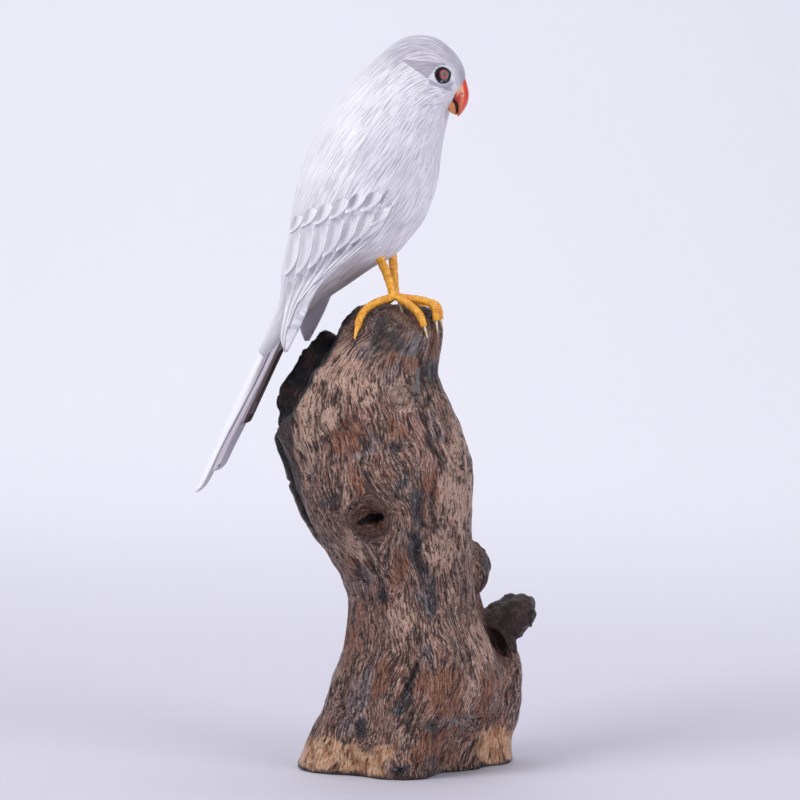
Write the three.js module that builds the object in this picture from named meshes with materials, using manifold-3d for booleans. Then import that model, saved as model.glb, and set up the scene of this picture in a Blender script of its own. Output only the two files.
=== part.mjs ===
// A carved and painted small parrot that stands with its two legs on a stump of root wood.
// Millimetres, +Z up. The bird faces +X and y = 0 is its mid-plane, so its right side is -Y.
// The origin is on the flat underside of the stump, at the centre of its footprint.

import * as THREE from 'three';
import { mergeVertices } from 'three/addons/utils/BufferGeometryUtils.js';
import Module from 'manifold-3d';

const wasm = await Module();
wasm.setup();

// Driving dimensions of the bird

const bodyRings = 25;
const bodySides = 22;
// Ribs of the body from the face to the root of the tail: back point, belly point and half width.
const ribs = [
  { back: [32.6, 374], belly: [24, 360], half: 6 },
  { back: [31.5, 382], belly: [21, 356], half: 11.5 },
  { back: [25, 391.5], belly: [20, 348], half: 16 },
  { back: [14, 398.5], belly: [19, 339], half: 18.8 },
  { back: [-1, 398], belly: [18, 329], half: 20.5 },
  { back: [-14, 389], belly: [17, 320], half: 22.5 },
  { back: [-27, 377], belly: [14, 310], half: 24.5 },
  { back: [-39, 364], belly: [9, 299], half: 27 },
  { back: [-49, 348], belly: [1, 289], half: 28.5 },
  { back: [-57, 329], belly: [-7, 280.6], half: 29 },
  { back: [-62, 311], belly: [-19.5, 273.6], half: 27 },
  { back: [-65, 292], belly: [-32, 265.2], half: 23 },
  { back: [-69, 274], belly: [-45, 256.6], half: 18 },
  { back: [-70.5, 257], belly: [-55.5, 247.4], half: 13 },
  { back: [-77, 241], belly: [-65.5, 234], half: 10.5 },
  { back: [-83.2, 228], belly: [-76, 224], half: 7 },
];

// Sections of the two halves of the beak: inner end, outer end and half width.
const upperBeak = [
  { inner: [26.5, 374.2], outer: [32.4, 376.2], half: 2.6 },
  { inner: [23.5, 370.8], outer: [33.6, 372.4], half: 4.8 },
  { inner: [22.5, 367.8], outer: [34.4, 368.4], half: 6 },
  { inner: [24.5, 365.9], outer: [34.3, 364.6], half: 5.6 },
  { inner: [28.2, 362.6], outer: [32.9, 360.6], half: 4.2 },
  { inner: [28.8, 359.2], outer: [30.6, 357.2], half: 2.4 },
  { inner: [28.2, 356.2], outer: [28.7, 355.3], half: 0.6 },
];
const lowerBeak = [
  { inner: [19.5, 365.6], outer: [26.4, 366.0], half: 4.2 },
  { inner: [20.0, 362.2], outer: [28.4, 362.5], half: 4.2 },
  { inner: [22.4, 360.0], outer: [28.9, 359.3], half: 3.4 },
  { inner: [24.0, 358.0], outer: [28.5, 357.3], half: 2.2 },
  { inner: [26.4, 356.5], outer: [27.8, 356.2], half: 0.5 },
];
const beakSides = 12;

const eyePlace = [23.6, 376.9];
const eyeRadius = 4.6;
const eyeRise = 1.2;

// Stations of a folded wing: how far along it lies, back edge and lower edge.
const wingStations = [
  { at: 0, back: [-46, 345.6], low: [1.5, 331.7] },
  { at: 0.2, back: [-55, 324.2], low: [1.8, 317.9] },
  { at: 0.35, back: [-60.1, 296.6], low: [-1.8, 307.3] },
  { at: 0.55, back: [-63.3, 270], low: [-9.7, 293.5] },
  { at: 0.68, back: [-64.8, 256.5], low: [-27.8, 277.4] },
  { at: 0.8, back: [-65.1, 245.6], low: [-43, 263.2] },
  { at: 0.92, back: [-64.8, 235.9], low: [-52.6, 243.2] },
  { at: 1, back: [-62.2, 228.6], low: [-60.6, 228.2] },
];
const wingRise = { shoulder: -1, full: 2.2 };
// The wing is thick where it lies on the body and thin where it stands clear, from this gap to this one.
const wingDepth = { near: 9, clear: 3 };
const wingGap = { near: 4, clear: 9 };
const wingLeastReach = 0.5;
// Past this place along the wing it may stand free of the body, at this distance from the mid-plane.
const wingFree = 0.3;
const wingTipReach = { root: 27, tip: 24.5 };
const wingTipInset = { root: 20, tip: 3 };
// The left wing is folded higher than the right one towards its tip.
const leftTipLift = { from: 0.6, full: 0.85, height: 4 };

// Rows of wing feathers: where the first and last start, where each one ends, from the back edge to the
// lower edge, and how far the tips rise.
const featherRows = [
  { starts: [0.26, 0.16], ends: [0.378, 0.367, 0.372, 0.36, 0.345, 0.352, 0.34], rise: 0.9 },
  { starts: [0.34, 0.3], ends: [0.552, 0.573, 0.578, 0.555, 0.555, 0.552, 0.47], rise: 1 },
  { starts: [0.51, 0.47], ends: [1, 0.97, 0.88, 0.78, 0.708, 0.708, 0.685], rise: 1 },
];
const featherOverlap = 1.15;
const featherSink = { root: 4, tip: 1.6 };
const featherRootDip = 0.5;
const featherDome = 0.4;
const featherRoundFrom = 0.6;
const featherRootWidth = 0.75;
const featherLeastWidth = 0.006;
// How far the tip bends towards the back edge, as a share of the width that the rounding takes off.
const featherHook = 0.75;

// Layers of the folded tail, from the top one down, with their half widths near the root and near the tip.
const tailRoot = [-68.5, 259];
const tailTip = [-120.6, 150];
const tailLayers = [
  { halves: [6.7, 3.8], drop: 0, length: 1, thickness: 2.2, point: 0.1 },
  { halves: [7.4, 5.7], drop: 1.8, length: 0.885, thickness: 1.8, point: 0.08 },
  { halves: [6.1, 6.1], drop: 3.3, length: 0.58, thickness: 2.1, point: 0.06 },
];
const tailNarrows = { from: 0.3, to: 0.8 };
const tailSlope = 1.1;

// Legs of thick wire and putty: centre lines with their radii

const legSides = 6;
const legs = {
  leg_right: {
    shank: [[-15, -7.6, 284, 2.5], [-12.5, -8, 279, 2.4], [-7.7, -9, 268, 2.2], [-4.4, -10.7, 257.4, 2.1]],
    toes: [
      [[-4.6, -10.8, 258.6, 2], [-7, -11.9, 257.9, 2], [-13.5, -14.6, 255.4, 2],
        [-18.7, -16, 251.8, 2], [-21.1, -18.9, 247, 2], [-21.7, -22, 242.6, 1.7]],
      [[-4.6, -10.8, 258.6, 2], [-2.4, -11.3, 258.4, 2], [3.3, -12.1, 255.3, 2],
        [7.9, -12.4, 251.8, 2], [11, -13.2, 248.2, 2], [13.2, -14, 242.6, 1.7]],
      [[-4.6, -10.8, 258.6, 2], [0.2, -8.2, 258.1, 2], [6.2, -5.7, 257, 2],
        [12.7, -4.8, 255.7, 2], [17, -4.9, 252.4, 2], [18.2, -6.4, 245.6, 1.7]],
    ],
    pin: [[-1.5, -10.6, 257.6, 1], [0.6, -9.6, 248, 1]],
  },
  leg_left: {
    shank: [[-10.4, 8.4, 284, 2.5], [-9.6, 9, 279, 2.4], [-8.9, 10, 268, 2.2], [-8.4, 11, 257.4, 2.1]],
    toes: [
      [[-8.4, 11, 258.4, 2], [-11, 12.8, 257.2, 2], [-15, 15.4, 254.6, 2],
        [-18.8, 18.4, 250.8, 2], [-21.2, 21.6, 246.4, 2], [-22, 23.8, 241.8, 1.7]],
      [[-8.4, 11, 258.4, 2], [-3.6, 8.4, 257.6, 2], [3.6, 6, 257, 2], [10.8, 3.5, 255.7, 2],
        [16.9, 1.7, 253.2, 2], [19, 0.3, 246.4, 1.7]],
      [[-8.4, 11, 258.4, 2], [-5.4, 13.4, 257.6, 2], [-1, 16.6, 255.8, 2], [3.6, 19.6, 252.8, 2],
        [6.6, 22, 248.8, 2], [8, 24, 244, 1.7]],
    ],
    pin: [[-6.5, 10.2, 257.2, 1], [-4.5, 9, 248, 1]],
  },
};
// Claws: distance past the end of the toe and radius there.
const clawSides = 5;
const clawStations = [[-1.5, 0.9], [2, 0.81], [6.5, 0.35]];

// Driving dimensions of the stump, in its own frame, which is turned under the bird

const stumpTurn = THREE.MathUtils.degToRad(13);
const trunkRings = 27;
const trunkSides = 26;
// Squareness of the trunk's sections, from an ellipse at the foot to a fuller outline at the top.
const trunkSquareness = { foot: 2.1, top: 2.5 };
// Stations of the trunk: height, left edge, right edge, front edge, rear edge.
const trunkStations = [
  [0, -61, 45, -36, 43],
  [12, -58, 46, -38, 45],
  [33, -47, 51, -38, 44],
  [52, -41, 53, -36, 42],
  [69, -34, 47, -34, 38],
  [86, -33, 39, -32, 36],
  [104, -34, 37, -32, 35],
  [121, -45, 36, -34, 36],
  [139, -57.5, 36, -37, 38],
  [156, -63.5, 36.5, -38, 40],
  [174, -69, 35, -38, 40],
  [191, -73.5, 28.5, -37, 38],
  [204, -75, 21.5, -34, 36],
  [217, -68, 18.5, -30, 33],
  [230, -58, 19.5, -24, 30],
  [240, -40, 20.3, -19, 26],
  [247, -31.5, 18.8, -14.5, 22],
  [252, -28.5, 14.5, -10, 18],
  [254, -24, 8, -5, 11],
];
// Long hollows and ridges down the trunk: direction seen from above, depth, width and heights.
const flutes = [
  { toward: -128, depth: 12, width: 26, low: -30, high: 42 },
  { toward: -35, depth: 15, width: 20, low: -30, high: 34 },
  { toward: -82, depth: 5, width: 13, low: 8, high: 78 },
  { toward: -70, depth: 4, width: 12, low: 84, high: 150 },
  { toward: -103, depth: -4, width: 20, low: 104, high: 178 },
  { toward: 60, depth: 8, width: 16, low: -20, high: 150 },
  { toward: 118, depth: 9, width: 20, low: 40, high: 190 },
  { toward: 160, depth: 6, width: 16, low: -20, high: 110 },
  { toward: -48, depth: 3, width: 12, low: 200, high: 256 },
];

// The open hollow at the upper left: the slanting edge of its front wall, its outline and its trough
const hollowTop = [-42.5, 261];
const hollowFoot = [-76.5, 206];
const hollowOutline = [[-45, 17], [10, 17], [15, 12], [16, -24], [-45, -24]];
const hollowReach = { above: 12, below: 84 };
// Above the rear wall's horn the cut runs right through.
const gapOutline = [[5, 17], [50, 17], [50, -24], [5, -24]];
const gapReach = { above: 12, below: 18 };
const hollowTrough = [
  [-42, 2, 240, 5], [-47, 0, 228, 10], [-55, -2, 213, 12], [-61, -4, 198, 9], [-62, -6, 182, 4],
];
const edgeGroove = [[-70, -7, 204, 6], [-66, -8, 176, 5], [-58, -9, 150, 4.5], [-48, -10, 124, 2]];

// Upright root behind the right side, the broken branch above it, and the swelling that carries both
const rootColumn = [
  [46.8, 21, -4, 14], [46.3, 21, 12, 12.6], [49.5, 21, 26, 12.8], [51.2, 21, 42, 13.2],
  [51, 21, 58, 12.4], [48.5, 21, 73, 9.5],
];
const brokenBranch = [
  [30, 20, 62, 12], [45, 23, 73, 10.5], [54, 25, 78.5, 11.5], [63, 26, 80, 13], [71.5, 26, 81, 10.5],
];
// The face of the break: the way towards the wood that is left and how far along it the face lies.
const breakFace = { toward: [-0.87, 0, 0.49], offset: -22.4 };
const buttress = [[34, 20, -5, 22], [32, 20, 50, 19], [24, 19, 94, 16], [12, 16, 145, 15]];

// Swellings and holes: centre, radii and turn about the axes.
const lobe = { centre: [33, 21, 108], radii: [12.5, 19, 17], turn: [0.25, 0, 0.2] };
const knot = { centre: [-18, -37, 141], radii: [13, 5, 14] };
const knotHole = { centre: [-16, -43, 142], radii: [6, 8, 4], turn: [0, 0.5, 0] };
const crack = { centre: [50, 8, 67], radii: [4.5, 9, 15], turn: [0, -0.6, 0] };
const horn = { centre: [-43.5, 18, 230], radii: [5.5, 7, 10.5] };

const pale = { paint: 0xe6e4ea, putty: 0xe0a42c, wood: 0x7a5a42 };

// Numbers and curves

const lerp = THREE.MathUtils.lerp;
const smooth = (x, low, high) => THREE.MathUtils.smoothstep(x, low, high);

// Value of a smooth curve through equally spaced numbers, at a place from 0 to the last index.
function through(values, place) {
  const last = values.length - 1;
  const index = Math.min(Math.max(Math.floor(place), 0), last - 1);
  const t = place - index;
  const [a, b, c, d] = [-1, 0, 1, 2].map((k) => values[Math.min(Math.max(index + k, 0), last)]);
  const slopeIn = (c - a) / 2;
  const slopeOut = (d - b) / 2;
  const square = t * t;
  const cube = square * t;
  return (2 * cube - 3 * square + 1) * b + (cube - 2 * square + t) * slopeIn
    + (3 * square - 2 * cube) * c + (cube - square) * slopeOut;
}

// Place of a key among rising keys, as a fraction of their index.
function placeAmong(keys, key) {
  const last = keys.length - 1;
  let index = 0;
  while (index < last - 1 && keys[index + 1] < key) {
    index += 1;
  }
  return index + (key - keys[index]) / (keys[index + 1] - keys[index]);
}

// Closed solids

function solidFrom(geometry) {
  const bare = geometry.clone();
  bare.deleteAttribute('normal');
  bare.deleteAttribute('uv');
  const merged = mergeVertices(bare, 1e-4);
  return new wasm.Manifold(new wasm.Mesh({
    numProp: 3,
    vertProperties: new Float32Array(merged.attributes.position.array),
    triVerts: new Uint32Array(merged.index.array),
  }));
}

function geometryFrom(solid) {
  const mesh = solid.getMesh();
  const geometry = new THREE.BufferGeometry();
  geometry.setAttribute('position', new THREE.BufferAttribute(new Float32Array(mesh.vertProperties), 3));
  geometry.setIndex(new THREE.BufferAttribute(new Uint32Array(mesh.triVerts), 1));
  return geometry;
}

function closedMesh(points, faces) {
  const geometry = new THREE.BufferGeometry().setFromPoints(points);
  geometry.setIndex(faces);
  let volume = 0;
  for (let k = 0; k < faces.length; k += 3) {
    const [a, b, c] = [points[faces[k]], points[faces[k + 1]], points[faces[k + 2]]];
    volume += a.dot(b.clone().cross(c));
  }
  if (volume < 0) {
    for (let k = 0; k < faces.length; k += 3) {
      [faces[k], faces[k + 1]] = [faces[k + 1], faces[k]];
    }
    geometry.setIndex(faces);
  }
  return solidFrom(geometry);
}

// Solid through rings of as many points each, with a fan of faces over each end.
function loft(rings) {
  const sides = rings[0].length;
  const points = rings.flat();
  const faces = [];
  for (let r = 0; r + 1 < rings.length; r += 1) {
    for (let s = 0; s < sides; s += 1) {
      const next = (s + 1) % sides;
      const [a, b] = [r * sides + s, r * sides + next];
      faces.push(a, b, b + sides, a, b + sides, a + sides);
    }
  }
  const middle = (ring) => ring.reduce((sum, p) => sum.add(p), new THREE.Vector3()).divideScalar(sides);
  const [first, last] = [points.length, points.length + 1];
  points.push(middle(rings[0]), middle(rings.at(-1)));
  const lastRing = (rings.length - 1) * sides;
  for (let s = 0; s < sides; s += 1) {
    const next = (s + 1) % sides;
    faces.push(first, next, s, last, lastRing + s, lastRing + next);
  }
  return closedMesh(points, faces);
}

// Thin solid between two curved faces that share the same grid of places from 0 to 1.
function slab(along, across, top, bottom) {
  const rings = [];
  for (let i = 0; i <= along; i += 1) {
    const ring = [];
    for (let j = 0; j <= across; j += 1) {
      ring.push(top(i / along, j / across));
    }
    for (let j = across; j >= 0; j -= 1) {
      ring.push(bottom(i / along, j / across));
    }
    rings.push(ring);
  }
  return loft(rings);
}

function union(solids) {
  return solids.reduce((sum, solid) => sum.add(solid));
}

function ellipsoid({ centre, radii, turn = [0, 0, 0] }) {
  const geometry = new THREE.SphereGeometry(1, 12, 8);
  geometry.scale(...radii);
  geometry.applyMatrix4(new THREE.Matrix4().makeRotationFromEuler(new THREE.Euler(...turn)));
  geometry.translate(...centre);
  return solidFrom(geometry);
}

// Round bar along a smooth line through [x, y, z, radius] points.
function bar(line, sides, steps, squash = 1) {
  const curve = new THREE.CatmullRomCurve3(line.map(([x, y, z]) => new THREE.Vector3(x, y, z)));
  const radii = line.map((point) => point[3]);
  const rings = [];
  const side = new THREE.Vector3(0, 1, 0);
  for (let k = 0; k <= steps; k += 1) {
    const t = k / steps;
    const centre = curve.getPoint(t);
    const ahead = curve.getTangent(t);
    const up = side.clone().cross(ahead).normalize();
    const across = ahead.clone().cross(up).normalize();
    const radius = through(radii, t * (line.length - 1));
    const ring = [];
    for (let s = 0; s < sides; s += 1) {
      const angle = (s / sides) * 2 * Math.PI;
      ring.push(centre.clone()
        .addScaledVector(up, radius * Math.cos(angle))
        .addScaledVector(across, radius * squash * Math.sin(angle)));
    }
    rings.push(ring);
  }
  return loft(rings);
}

// Body of the bird

const ribColumn = (key, axis) => ribs.map((rib) => (axis === undefined ? rib[key] : rib[key][axis]));
const ribCurves = {
  backX: ribColumn('back', 0),
  backZ: ribColumn('back', 1),
  bellyX: ribColumn('belly', 0),
  bellyZ: ribColumn('belly', 1),
  half: ribColumn('half'),
};

function ribAt(place) {
  const back = new THREE.Vector3(through(ribCurves.backX, place), 0, through(ribCurves.backZ, place));
  const belly = new THREE.Vector3(through(ribCurves.bellyX, place), 0, through(ribCurves.bellyZ, place));
  const middle = back.clone().add(belly).multiplyScalar(0.5);
  const reach = back.clone().sub(belly).multiplyScalar(0.5);
  return { middle, reach, half: through(ribCurves.half, place) };
}

// Half width of the body at a point of its side view, or 0 outside it.
function bodyHalfWidth(x, z) {
  const side = (place) => {
    const { middle, reach } = ribAt(place);
    return (x - middle.x) * reach.z - (z - middle.z) * reach.x;
  };
  let low = 0;
  let high = ribs.length - 1;
  if (side(low) > 0 || side(high) < 0) {
    return 0;
  }
  for (let k = 0; k < 30; k += 1) {
    const guess = (low + high) / 2;
    if (side(guess) < 0) {
      low = guess;
    } else {
      high = guess;
    }
  }
  const { middle, reach, half } = ribAt(low);
  const height = ((x - middle.x) * reach.x + (z - middle.z) * reach.z) / reach.lengthSq();
  return Math.abs(height) < 1 ? half * Math.sqrt(1 - height * height) : 0;
}

function bodySolid(grow) {
  const rings = [];
  for (let r = 0; r <= bodyRings; r += 1) {
    const { middle, reach, half } = ribAt((r / bodyRings) * (ribs.length - 1));
    const stretch = 1 + grow / reach.length();
    const ring = [];
    for (let s = 0; s < bodySides; s += 1) {
      const angle = (s / bodySides) * 2 * Math.PI;
      const point = middle.clone().addScaledVector(reach, stretch * Math.cos(angle));
      point.y = (half + grow) * Math.sin(angle);
      ring.push(point);
    }
    rings.push(ring);
  }
  return loft(rings);
}

// Beak and eyes

function beakSolid(sections) {
  const rings = sections.map(({ inner, outer, half }) => {
    const ring = [];
    for (let s = 0; s < beakSides; s += 1) {
      const angle = (s / beakSides) * 2 * Math.PI;
      const t = (1 - Math.cos(angle)) / 2;
      ring.push(new THREE.Vector3(
        lerp(inner[0], outer[0], t),
        half * Math.sin(angle),
        lerp(inner[1], outer[1], t),
      ));
    }
    return ring;
  });
  return loft(rings);
}

function eyeSolid(side) {
  const [x, z] = eyePlace;
  const step = 0.5;
  const half = bodyHalfWidth(x, z);
  const slopeX = (bodyHalfWidth(x + step, z) - half) / step;
  const slopeZ = (bodyHalfWidth(x, z + step) - half) / step;
  const outward = new THREE.Vector3(-slopeX, side, -slopeZ).normalize();
  const geometry = new THREE.SphereGeometry(1, 12, 6);
  geometry.rotateX(Math.PI / 2);
  geometry.scale(eyeRadius, eyeRadius, eyeRise);
  const turn = new THREE.Quaternion().setFromUnitVectors(new THREE.Vector3(0, 0, 1), outward);
  geometry.applyQuaternion(turn);
  geometry.translate(x, side * half, z);
  return solidFrom(geometry);
}

// Wings and their feathers

const wingKeys = wingStations.map((station) => station.at);
const wingColumn = (key, axis) => wingStations.map((station) => station[key][axis]);
const wingCurves = {
  backX: wingColumn('back', 0),
  backZ: wingColumn('back', 1),
  lowX: wingColumn('low', 0),
  lowZ: wingColumn('low', 1),
};

// Point of the wing's outer face: u runs from shoulder to tip, v from the back edge to the lower edge.
function wingPoint(side, u, v, rise) {
  const place = placeAmong(wingKeys, u);
  const x = lerp(through(wingCurves.backX, place), through(wingCurves.lowX, place), v);
  const lift = side > 0 ? leftTipLift.height * smooth(u, leftTipLift.from, leftTipLift.full) : 0;
  const z = lerp(through(wingCurves.backZ, place), through(wingCurves.lowZ, place), v) + lift;
  const body = bodyHalfWidth(x, z);
  const onBody = body + lerp(wingRise.shoulder, wingRise.full, smooth(u, 0.02, 0.35));
  const along = smooth(u, wingFree, 1);
  const inset = lerp(wingTipInset.root, wingTipInset.tip, along);
  const free = lerp(wingTipReach.root, wingTipReach.tip, along) - inset * (1 - v) ** 2;
  const reach = u > wingFree ? Math.max(onBody, free) : onBody;
  return { x, z, body, y: side * (reach + rise) };
}

function wingSolid(side) {
  const outer = (u, v) => {
    const p = wingPoint(side, u, v, 0);
    return new THREE.Vector3(p.x, p.y, p.z);
  };
  const inner = (u, v) => {
    const p = wingPoint(side, u, v, 0);
    const reach = Math.abs(p.y);
    const clear = smooth(reach - p.body, wingGap.near, wingGap.clear);
    const depth = lerp(wingDepth.near, wingDepth.clear, clear);
    return new THREE.Vector3(p.x, side * Math.max(reach - depth, wingLeastReach), p.z);
  };
  return slab(12, 6, outer, inner);
}

// One feather: a thin leaf that starts under the row above it and lifts towards its tip, whose lower side
// is round and whose upper side runs straight.
function featherSolid(side, start, end, middle, half, rise) {
  const tipShare = (t) => Math.max(0, (t - featherRoundFrom) / (1 - featherRoundFrom));
  const face = (step, b, lift) => {
    const t = 1 - (1 - step) ** 2;
    const u = lerp(start, end, t);
    const rounding = Math.sqrt(1 - tipShare(t) ** 2);
    const width = Math.max(half * Math.min(1, featherRootWidth + t) * rounding, featherLeastWidth);
    const v = middle - featherHook * half * (1 - rounding) + (2 * b - 1) * width;
    const dome = featherDome * (1 - (2 * b - 1) ** 2);
    const p = wingPoint(side, u, THREE.MathUtils.clamp(v, 0, 1), lift + dome);
    return new THREE.Vector3(p.x, p.y, p.z);
  };
  const top = (t, b) => face(t, b, lerp(-featherRootDip, rise, t));
  const sink = (u) => lerp(featherSink.root, featherSink.tip, smooth(u, 0.5, 0.8));
  const bottom = (t, b) => face(t, b, -sink(lerp(start, end, t)));
  return slab(4, 2, top, bottom);
}

function wingFeathers(side) {
  return featherRows.flatMap(({ starts, ends, rise }) => ends.map((end, k) => {
    const middle = (k + 0.5) / ends.length;
    const half = (featherOverlap / 2) / ends.length;
    return featherSolid(side, lerp(starts[0], starts[1], middle), end, middle, half, rise);
  }));
}

// Tail

function tailSolid({ halves, drop, length, thickness, point }) {
  const root = new THREE.Vector3(tailRoot[0], 0, tailRoot[1]);
  const along = new THREE.Vector3(tailTip[0], 0, tailTip[1]).sub(root);
  const down = new THREE.Vector3(-along.z, 0, along.x).normalize();
  const face = (depth) => (t, b) => {
    const taper = Math.sqrt(Math.max(0.02, 1 - Math.max(0, (t - 1 + point) / point) ** 2));
    const half = lerp(halves[0], halves[1], smooth(t * length, tailNarrows.from, tailNarrows.to));
    const across = (2 * b - 1) * half * taper;
    return root.clone()
      .addScaledVector(along, t * length)
      .addScaledVector(down, drop + depth + tailSlope * Math.abs(across))
      .setY(across);
  };
  return slab(8, 2, face(0), face(thickness));
}

function birdSolid() {
  const sides = [-1, 1];
  return union([
    bodySolid(0),
    beakSolid(upperBeak),
    beakSolid(lowerBeak),
    ...sides.map(eyeSolid),
    ...sides.map(wingSolid),
    ...sides.flatMap(wingFeathers),
    ...tailLayers.map(tailSolid),
  ]);
}

// Legs

function clawSolid(toe) {
  const [before, end] = [toe.at(-2), toe.at(-1)].map(([x, y, z]) => new THREE.Vector3(x, y, z));
  const ahead = end.clone().sub(before).normalize();
  const at = ([distance, radius]) => [...end.clone().addScaledVector(ahead, distance).toArray(), radius];
  return bar(clawStations.map(at), clawSides, 3);
}

function legSolid({ shank, toes, pin }) {
  return union([
    bar(shank, legSides, 5),
    bar(pin, clawSides, 1),
    ...toes.map((toe) => bar(toe, legSides, 7)),
    ...toes.map(clawSolid),
  ]);
}

// Stump

const trunkColumn = (column) => trunkStations.map((station) => station[column]);
const [trunkHeights, trunkLeft, trunkRight, trunkFront, trunkRear] = [0, 1, 2, 3, 4].map(trunkColumn);

function fluteDepth(degrees, z) {
  return flutes.reduce((sum, { toward, depth, width, low, high }) => {
    const apart = THREE.MathUtils.euclideanModulo(degrees - toward + 180, 360) - 180;
    const middle = (low + high) / 2;
    const fade = Math.max(0, 1 - ((z - middle) / (high - middle)) ** 2);
    return sum + depth * fade * Math.exp(-((apart / width) ** 2));
  }, 0);
}

function trunkSolid(grow) {
  const top = trunkHeights.at(-1);
  const rings = [];
  for (let r = 0; r <= trunkRings; r += 1) {
    const z = top * Math.sin((r / trunkRings) * Math.PI * 0.5) ** 0.92;
    const place = placeAmong(trunkHeights, z);
    const [left, right, front, rear] = [trunkLeft, trunkRight, trunkFront, trunkRear]
      .map((values) => through(values, place));
    const bulge = 2 / lerp(trunkSquareness.foot, trunkSquareness.top, smooth(z, 120, 240));
    const ring = [];
    for (let s = 0; s < trunkSides; s += 1) {
      const angle = (s / trunkSides) * 2 * Math.PI;
      const [c, d] = [Math.cos(angle), Math.sin(angle)];
      const reach = {
        x: Math.sign(c) * Math.abs(c) ** bulge * ((right - left) / 2 + grow),
        y: Math.sign(d) * Math.abs(d) ** bulge * ((rear - front) / 2 + grow),
      };
      const degrees = THREE.MathUtils.radToDeg(Math.atan2(reach.y, reach.x));
      const lumps = 1.1 * Math.sin(3 * angle + z / 21) + 0.9 * Math.sin(5 * angle - z / 13);
      const fade = smooth(top - z, 0, 12);
      const cut = (fluteDepth(degrees, z) - lumps * Math.abs(d)) * fade;
      const scale = 1 - cut / Math.hypot(reach.x, reach.y);
      ring.push(new THREE.Vector3(
        (left + right) / 2 + reach.x * scale,
        (front + rear) / 2 + reach.y * scale,
        z + (r === trunkRings ? grow : 0) - (r === 0 ? grow : 0),
      ));
    }
    rings.push(ring);
  }
  return loft(rings);
}

// Straight cut along the slanting edge, with an outline of [y, inward] points.
function slantingCut(points, reach) {
  const outline = new THREE.Shape(points.map(([y, n]) => new THREE.Vector2(y, n)));
  const top = new THREE.Vector3(hollowTop[0], 0, hollowTop[1]);
  const foot = new THREE.Vector3(hollowFoot[0], 0, hollowFoot[1]);
  const along = foot.clone().sub(top).normalize();
  const across = new THREE.Vector3(0, 1, 0);
  const inward = along.clone().cross(across);
  const depth = reach.above + reach.below;
  const geometry = new THREE.ExtrudeGeometry(outline, { depth, bevelEnabled: false });
  geometry.translate(0, 0, -reach.above);
  geometry.applyMatrix4(new THREE.Matrix4().makeBasis(across, inward, along).setPosition(top));
  return solidFrom(geometry);
}

function stumpSolid() {
  const wood = union([
    trunkSolid(0),
    bar(rootColumn, 12, 8, 1.2),
    bar(brokenBranch, 10, 6, 1.15).trimByPlane(breakFace.toward, breakFace.offset),
    bar(buttress, 10, 6),
    ellipsoid(lobe),
    ellipsoid(knot),
  ]);
  const holes = union([
    slantingCut(hollowOutline, hollowReach),
    slantingCut(gapOutline, gapReach),
    bar(hollowTrough, 9, 6, 1.4),
    bar(edgeGroove, 7, 6),
    ellipsoid(knotHole),
    ellipsoid(crack),
  ]);
  return wood.subtract(holes).add(ellipsoid(horn)).trimByPlane([0, 0, 1], 0);
}

// Scene

function part(name, geometry, colour, roughness) {
  const material = new THREE.MeshStandardMaterial({ color: colour, roughness, metalness: 0 });
  const mesh = new THREE.Mesh(geometry, material);
  mesh.name = name;
  return mesh;
}

const clearance = 0.3;
const body = bodySolid(clearance);
const perch = solidFrom(geometryFrom(trunkSolid(clearance)).rotateZ(stumpTurn));

const bird = part('bird', geometryFrom(birdSolid()), pale.paint, 0.6);
const stump = part('stump', geometryFrom(stumpSolid()), pale.wood, 0.55);
const perched = new THREE.Group();
perched.rotation.z = stumpTurn;
perched.add(stump);

const carving = new THREE.Group();
carving.add(bird, perched);
for (const [name, leg] of Object.entries(legs)) {
  const solid = legSolid(leg).subtract(body).subtract(perch);
  carving.add(part(name, geometryFrom(solid), pale.putty, 0.35));
}

export default carving;
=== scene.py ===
"""The looks of a carved and painted parrot that stands on a stump of root wood.

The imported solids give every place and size. The bird, its legs and the stump are made again here with
all their detail and painted. Lengths are in millimetres and become metres when a mesh is made.
"""

import math

import bmesh
import bpy
import numpy as np
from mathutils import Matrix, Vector, noise


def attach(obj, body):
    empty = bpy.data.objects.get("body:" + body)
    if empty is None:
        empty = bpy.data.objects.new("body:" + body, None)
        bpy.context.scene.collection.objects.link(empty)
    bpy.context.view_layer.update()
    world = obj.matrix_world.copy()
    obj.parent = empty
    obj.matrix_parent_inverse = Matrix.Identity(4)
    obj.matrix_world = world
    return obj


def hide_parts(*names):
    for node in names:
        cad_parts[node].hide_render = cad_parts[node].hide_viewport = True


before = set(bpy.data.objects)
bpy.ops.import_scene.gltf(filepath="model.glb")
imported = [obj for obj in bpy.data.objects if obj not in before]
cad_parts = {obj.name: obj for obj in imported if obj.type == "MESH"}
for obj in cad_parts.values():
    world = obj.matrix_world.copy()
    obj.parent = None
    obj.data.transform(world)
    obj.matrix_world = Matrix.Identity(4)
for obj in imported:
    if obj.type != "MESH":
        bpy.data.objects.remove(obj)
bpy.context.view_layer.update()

MM = 0.001

# The bird's body: back point, belly point and half width of each rib, from the face to the tail's root.
RIBS = np.array([
    (32.6, 374, 24, 360, 6), (31.5, 382, 21, 356, 11.5), (25, 391.5, 20, 348, 16),
    (14, 398.5, 19, 339, 18.8), (-1, 398, 18, 329, 20.5), (-14, 389, 17, 320, 22.5),
    (-27, 377, 14, 310, 24.5), (-39, 364, 9, 299, 27), (-49, 348, 1, 289, 28.5),
    (-57, 329, -7, 280.6, 29), (-62, 311, -19.5, 273.6, 27), (-65, 292, -32, 265.2, 23),
    (-69, 274, -45, 256.6, 18), (-70.5, 257, -55.5, 247.4, 13), (-77, 241, -65.5, 234, 10.5),
    (-83.2, 228, -76, 224, 7),
])

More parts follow.
